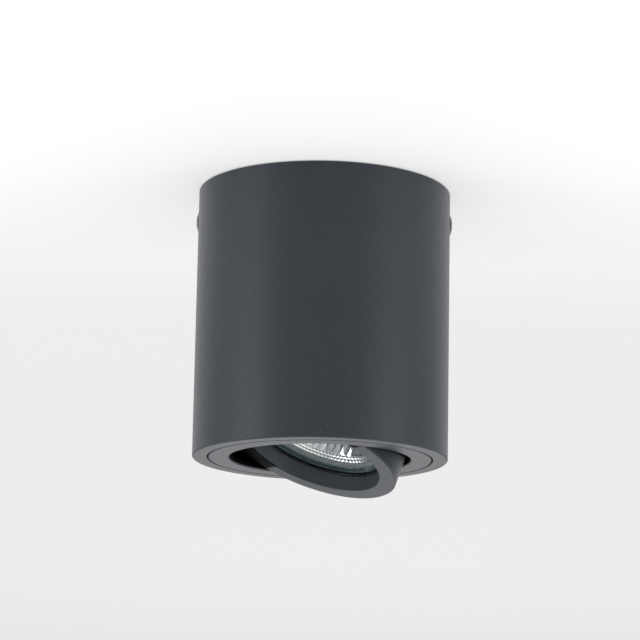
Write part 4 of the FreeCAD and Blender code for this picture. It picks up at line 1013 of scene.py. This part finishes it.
def braid_finish():
    material, tree, shader = new_finish("glass_fibre_braid", IOR=1.5, Sheen_Weight=0.2)
    grain = place_group(tree, speckle, Grains_per_metre=6000.0, Share=0.15)
    raised = in_range(stored(tree, "braid"), -0.6, 0.6)
    # painted shade: darker between the raised threads, off-white on them
    threads = two_tones(raised, (0.42, 0.40, 0.36), (0.82, 0.81, 0.77))
    paint(shader, grain["Grain"], threads, (0.60, 0.58, 0.54))
    roughen(shader, raised, 0.75, 0.55)
    bump(shader, grain["Height"], 0.01 * mm)
    return material


def earth_finish():
    material, tree, shader = new_finish("green_yellow_insulation", IOR=1.5)
    tone = place_group(tree, slow_tone, Patches_per_metre=100.0)
    stripe = in_range(stored(tree, "round"), -0.06, 0.06)
    coloured = two_tones(stripe, (0.02, 0.22, 0.05), (0.72, 0.56, 0.03))
    paint(shader, times(tone["Tone"], 0.12), coloured, (0.25, 0.28, 0.08))
    roughen(shader, tone["Smudge"], 0.32, 0.44)
    return material


silicone = silicone_finish()
for piece, material, slot, node in (
    (sleeves, braid_finish(), "glass_fibre_sleeve", "heat_sleeves"),
    (lower, silicone, "silicone_insulation", "lower_leads"),
    (upper, silicone, "silicone_insulation", "upper_leads"),
    (earth, earth_finish(), "earth_insulation", "earth_lead"),
):
    piece.data.materials.clear()
    piece.data.materials.append(material)
    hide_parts(node)
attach(earth, "ceiling_base")

# %% [markdown]
# ### Applying the tubes' transforms
# The sleeves and the lower and upper wires have their object transforms applied to their points.

# %% Applied transforms
for piece in (sleeves, lower):
    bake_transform(piece)
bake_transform(upper)

# %% [markdown]
# ## The ceiling
# The light hangs under a pale ceiling, which is the stage. It has painted light: a glow of its own that is
# brighter towards the camera and greyer behind, and it takes the can's soft shadow. From above it is
# see-through, so that the bracket and the wires can be looked at.

# %% Ceiling
def make_ceiling():
    """The flat grid (x, y, height), a hair above the object and facing down."""
    reach, count, height = 6.0, 25, 0.3 * mm
    line = np.linspace(-reach, reach, count)
    x, y = np.meshgrid(line, line, indexing="ij")
    points = np.stack([x, y, np.full_like(x, height)], axis=-1).reshape(-1, 3)
    corner = np.arange(count * count).reshape(count, count)
    quads = np.stack([corner[:-1, :-1], corner[:-1, 1:], corner[1:, 1:], corner[1:, :-1]], axis=-1)
    mesh = bpy.data.meshes.new("ceiling")
    mesh.from_pydata(points.tolist(), [], quads.reshape(-1, 4).tolist())
    ceiling = in_scene(bpy.data.objects.new("ceiling", mesh))
    ceiling.visible_shadow = False
    ceiling.visible_diffuse = False
    return ceiling


def ceiling_finish():
    """Diffuse paint with a painted glow of its own, brighter nearby, and see-through from above."""
    material, tree, shader = new_finish("white_ceiling_paint", IOR=1.45, Roughness=0.9, Emission_Strength=1.0,
                                        Base_Color=(0.55, 0.55, 0.55, 1.0))
    split = add_node(tree, "ShaderNodeSeparateXYZ")
    wire(object_place(tree), split.inputs["Vector"])
    # painted light: the glow grows towards the camera's side
    near = in_range(split.outputs["Y"], 0.25, -0.10)
    glow = two_tones(near, (0.30, 0.30, 0.30), (0.48, 0.48, 0.48))
    wire(glow, shader.inputs["Emission Color"])
    mix = add_node(tree, "ShaderNodeMixShader")
    wire(add_node(tree, "ShaderNodeNewGeometry").outputs["Backfacing"], mix.inputs[0])
    wire(shader.outputs[0], mix.inputs[1])
    wire(add_node(tree, "ShaderNodeBsdfTransparent").outputs[0], mix.inputs[2])
    wire(mix.outputs[0], tree.nodes["Material Output"].inputs["Surface"])
    return material


ceiling = make_ceiling()
ceiling.data.materials.append(ceiling_finish())

# %% [markdown]
# ## Light
# The photograph's light is soft and comes from both sides, which draws a bright line down each edge of the
# can and leaves its middle dark. Two large lamps do that, and a weak one behind lights the ceiling there.
# The world fills in: it is brighter behind the object than at the camera's side, and its white underside
# lights the faces of the rings.

# %% Lamps and world
lamp_distance, lamp_colour = 1.3, (0.95, 0.98, 1.0)


def soft_lamp(name, turn_degrees, drop, width, height, radiance):
    """A rectangle aimed at the object. Its power is pi times its radiance times its area."""
    turn = math.radians(turn_degrees)
    place = Vector((lamp_distance * math.sin(turn), -lamp_distance * math.cos(turn), -drop))
    data = bpy.data.lights.new(name, "AREA")
    data.shape, data.size, data.size_y = "RECTANGLE", width, height
    data.energy = math.pi * radiance * width * height
    data.color = lamp_colour
    lamp = in_scene(bpy.data.objects.new(name, data))
    aim = (Vector(camera_aim) - place).to_track_quat("-Z", "Y")
    lamp.matrix_world = Matrix.Translation(place) @ aim.to_matrix().to_4x4()
    lamp.visible_camera = False
    print(name, "power", round(data.energy, 2), "W")


def world_light():
    """Grey by direction: dimmer at the camera's side (-Y), brighter behind and below."""
    world = bpy.data.worlds.new("studio")
    bpy.context.scene.world = world
    world.use_nodes = True
    tree = world.node_tree
    split = add_node(tree, "ShaderNodeSeparateXYZ")
    wire(add_node(tree, "ShaderNodeTexCoord").outputs["Generated"], split.inputs["Vector"])
    along = in_range(split.outputs["Y"], 0.60, 1.0)
    tone = two_tones(along, (0.29, 0.305, 0.32), (0.62, 0.61, 0.61))
    below = in_range(split.outputs["Z"], -0.25, -0.60)
    wire(two_tones(below, tone, (1.0, 1.0, 1.0)), tree.nodes["Background"].inputs["Color"])


soft_lamp("left_soft_lamp", -64, 0.24, 0.55, 0.8, 3.9)
soft_lamp("right_soft_lamp", 64, 0.24, 0.55, 0.8, 3.0)
soft_lamp("back_soft_lamp", 180, 0.75, 0.5, 0.5, 0.8)
world_light()
bpy.context.scene.view_settings.view_transform = "Standard"
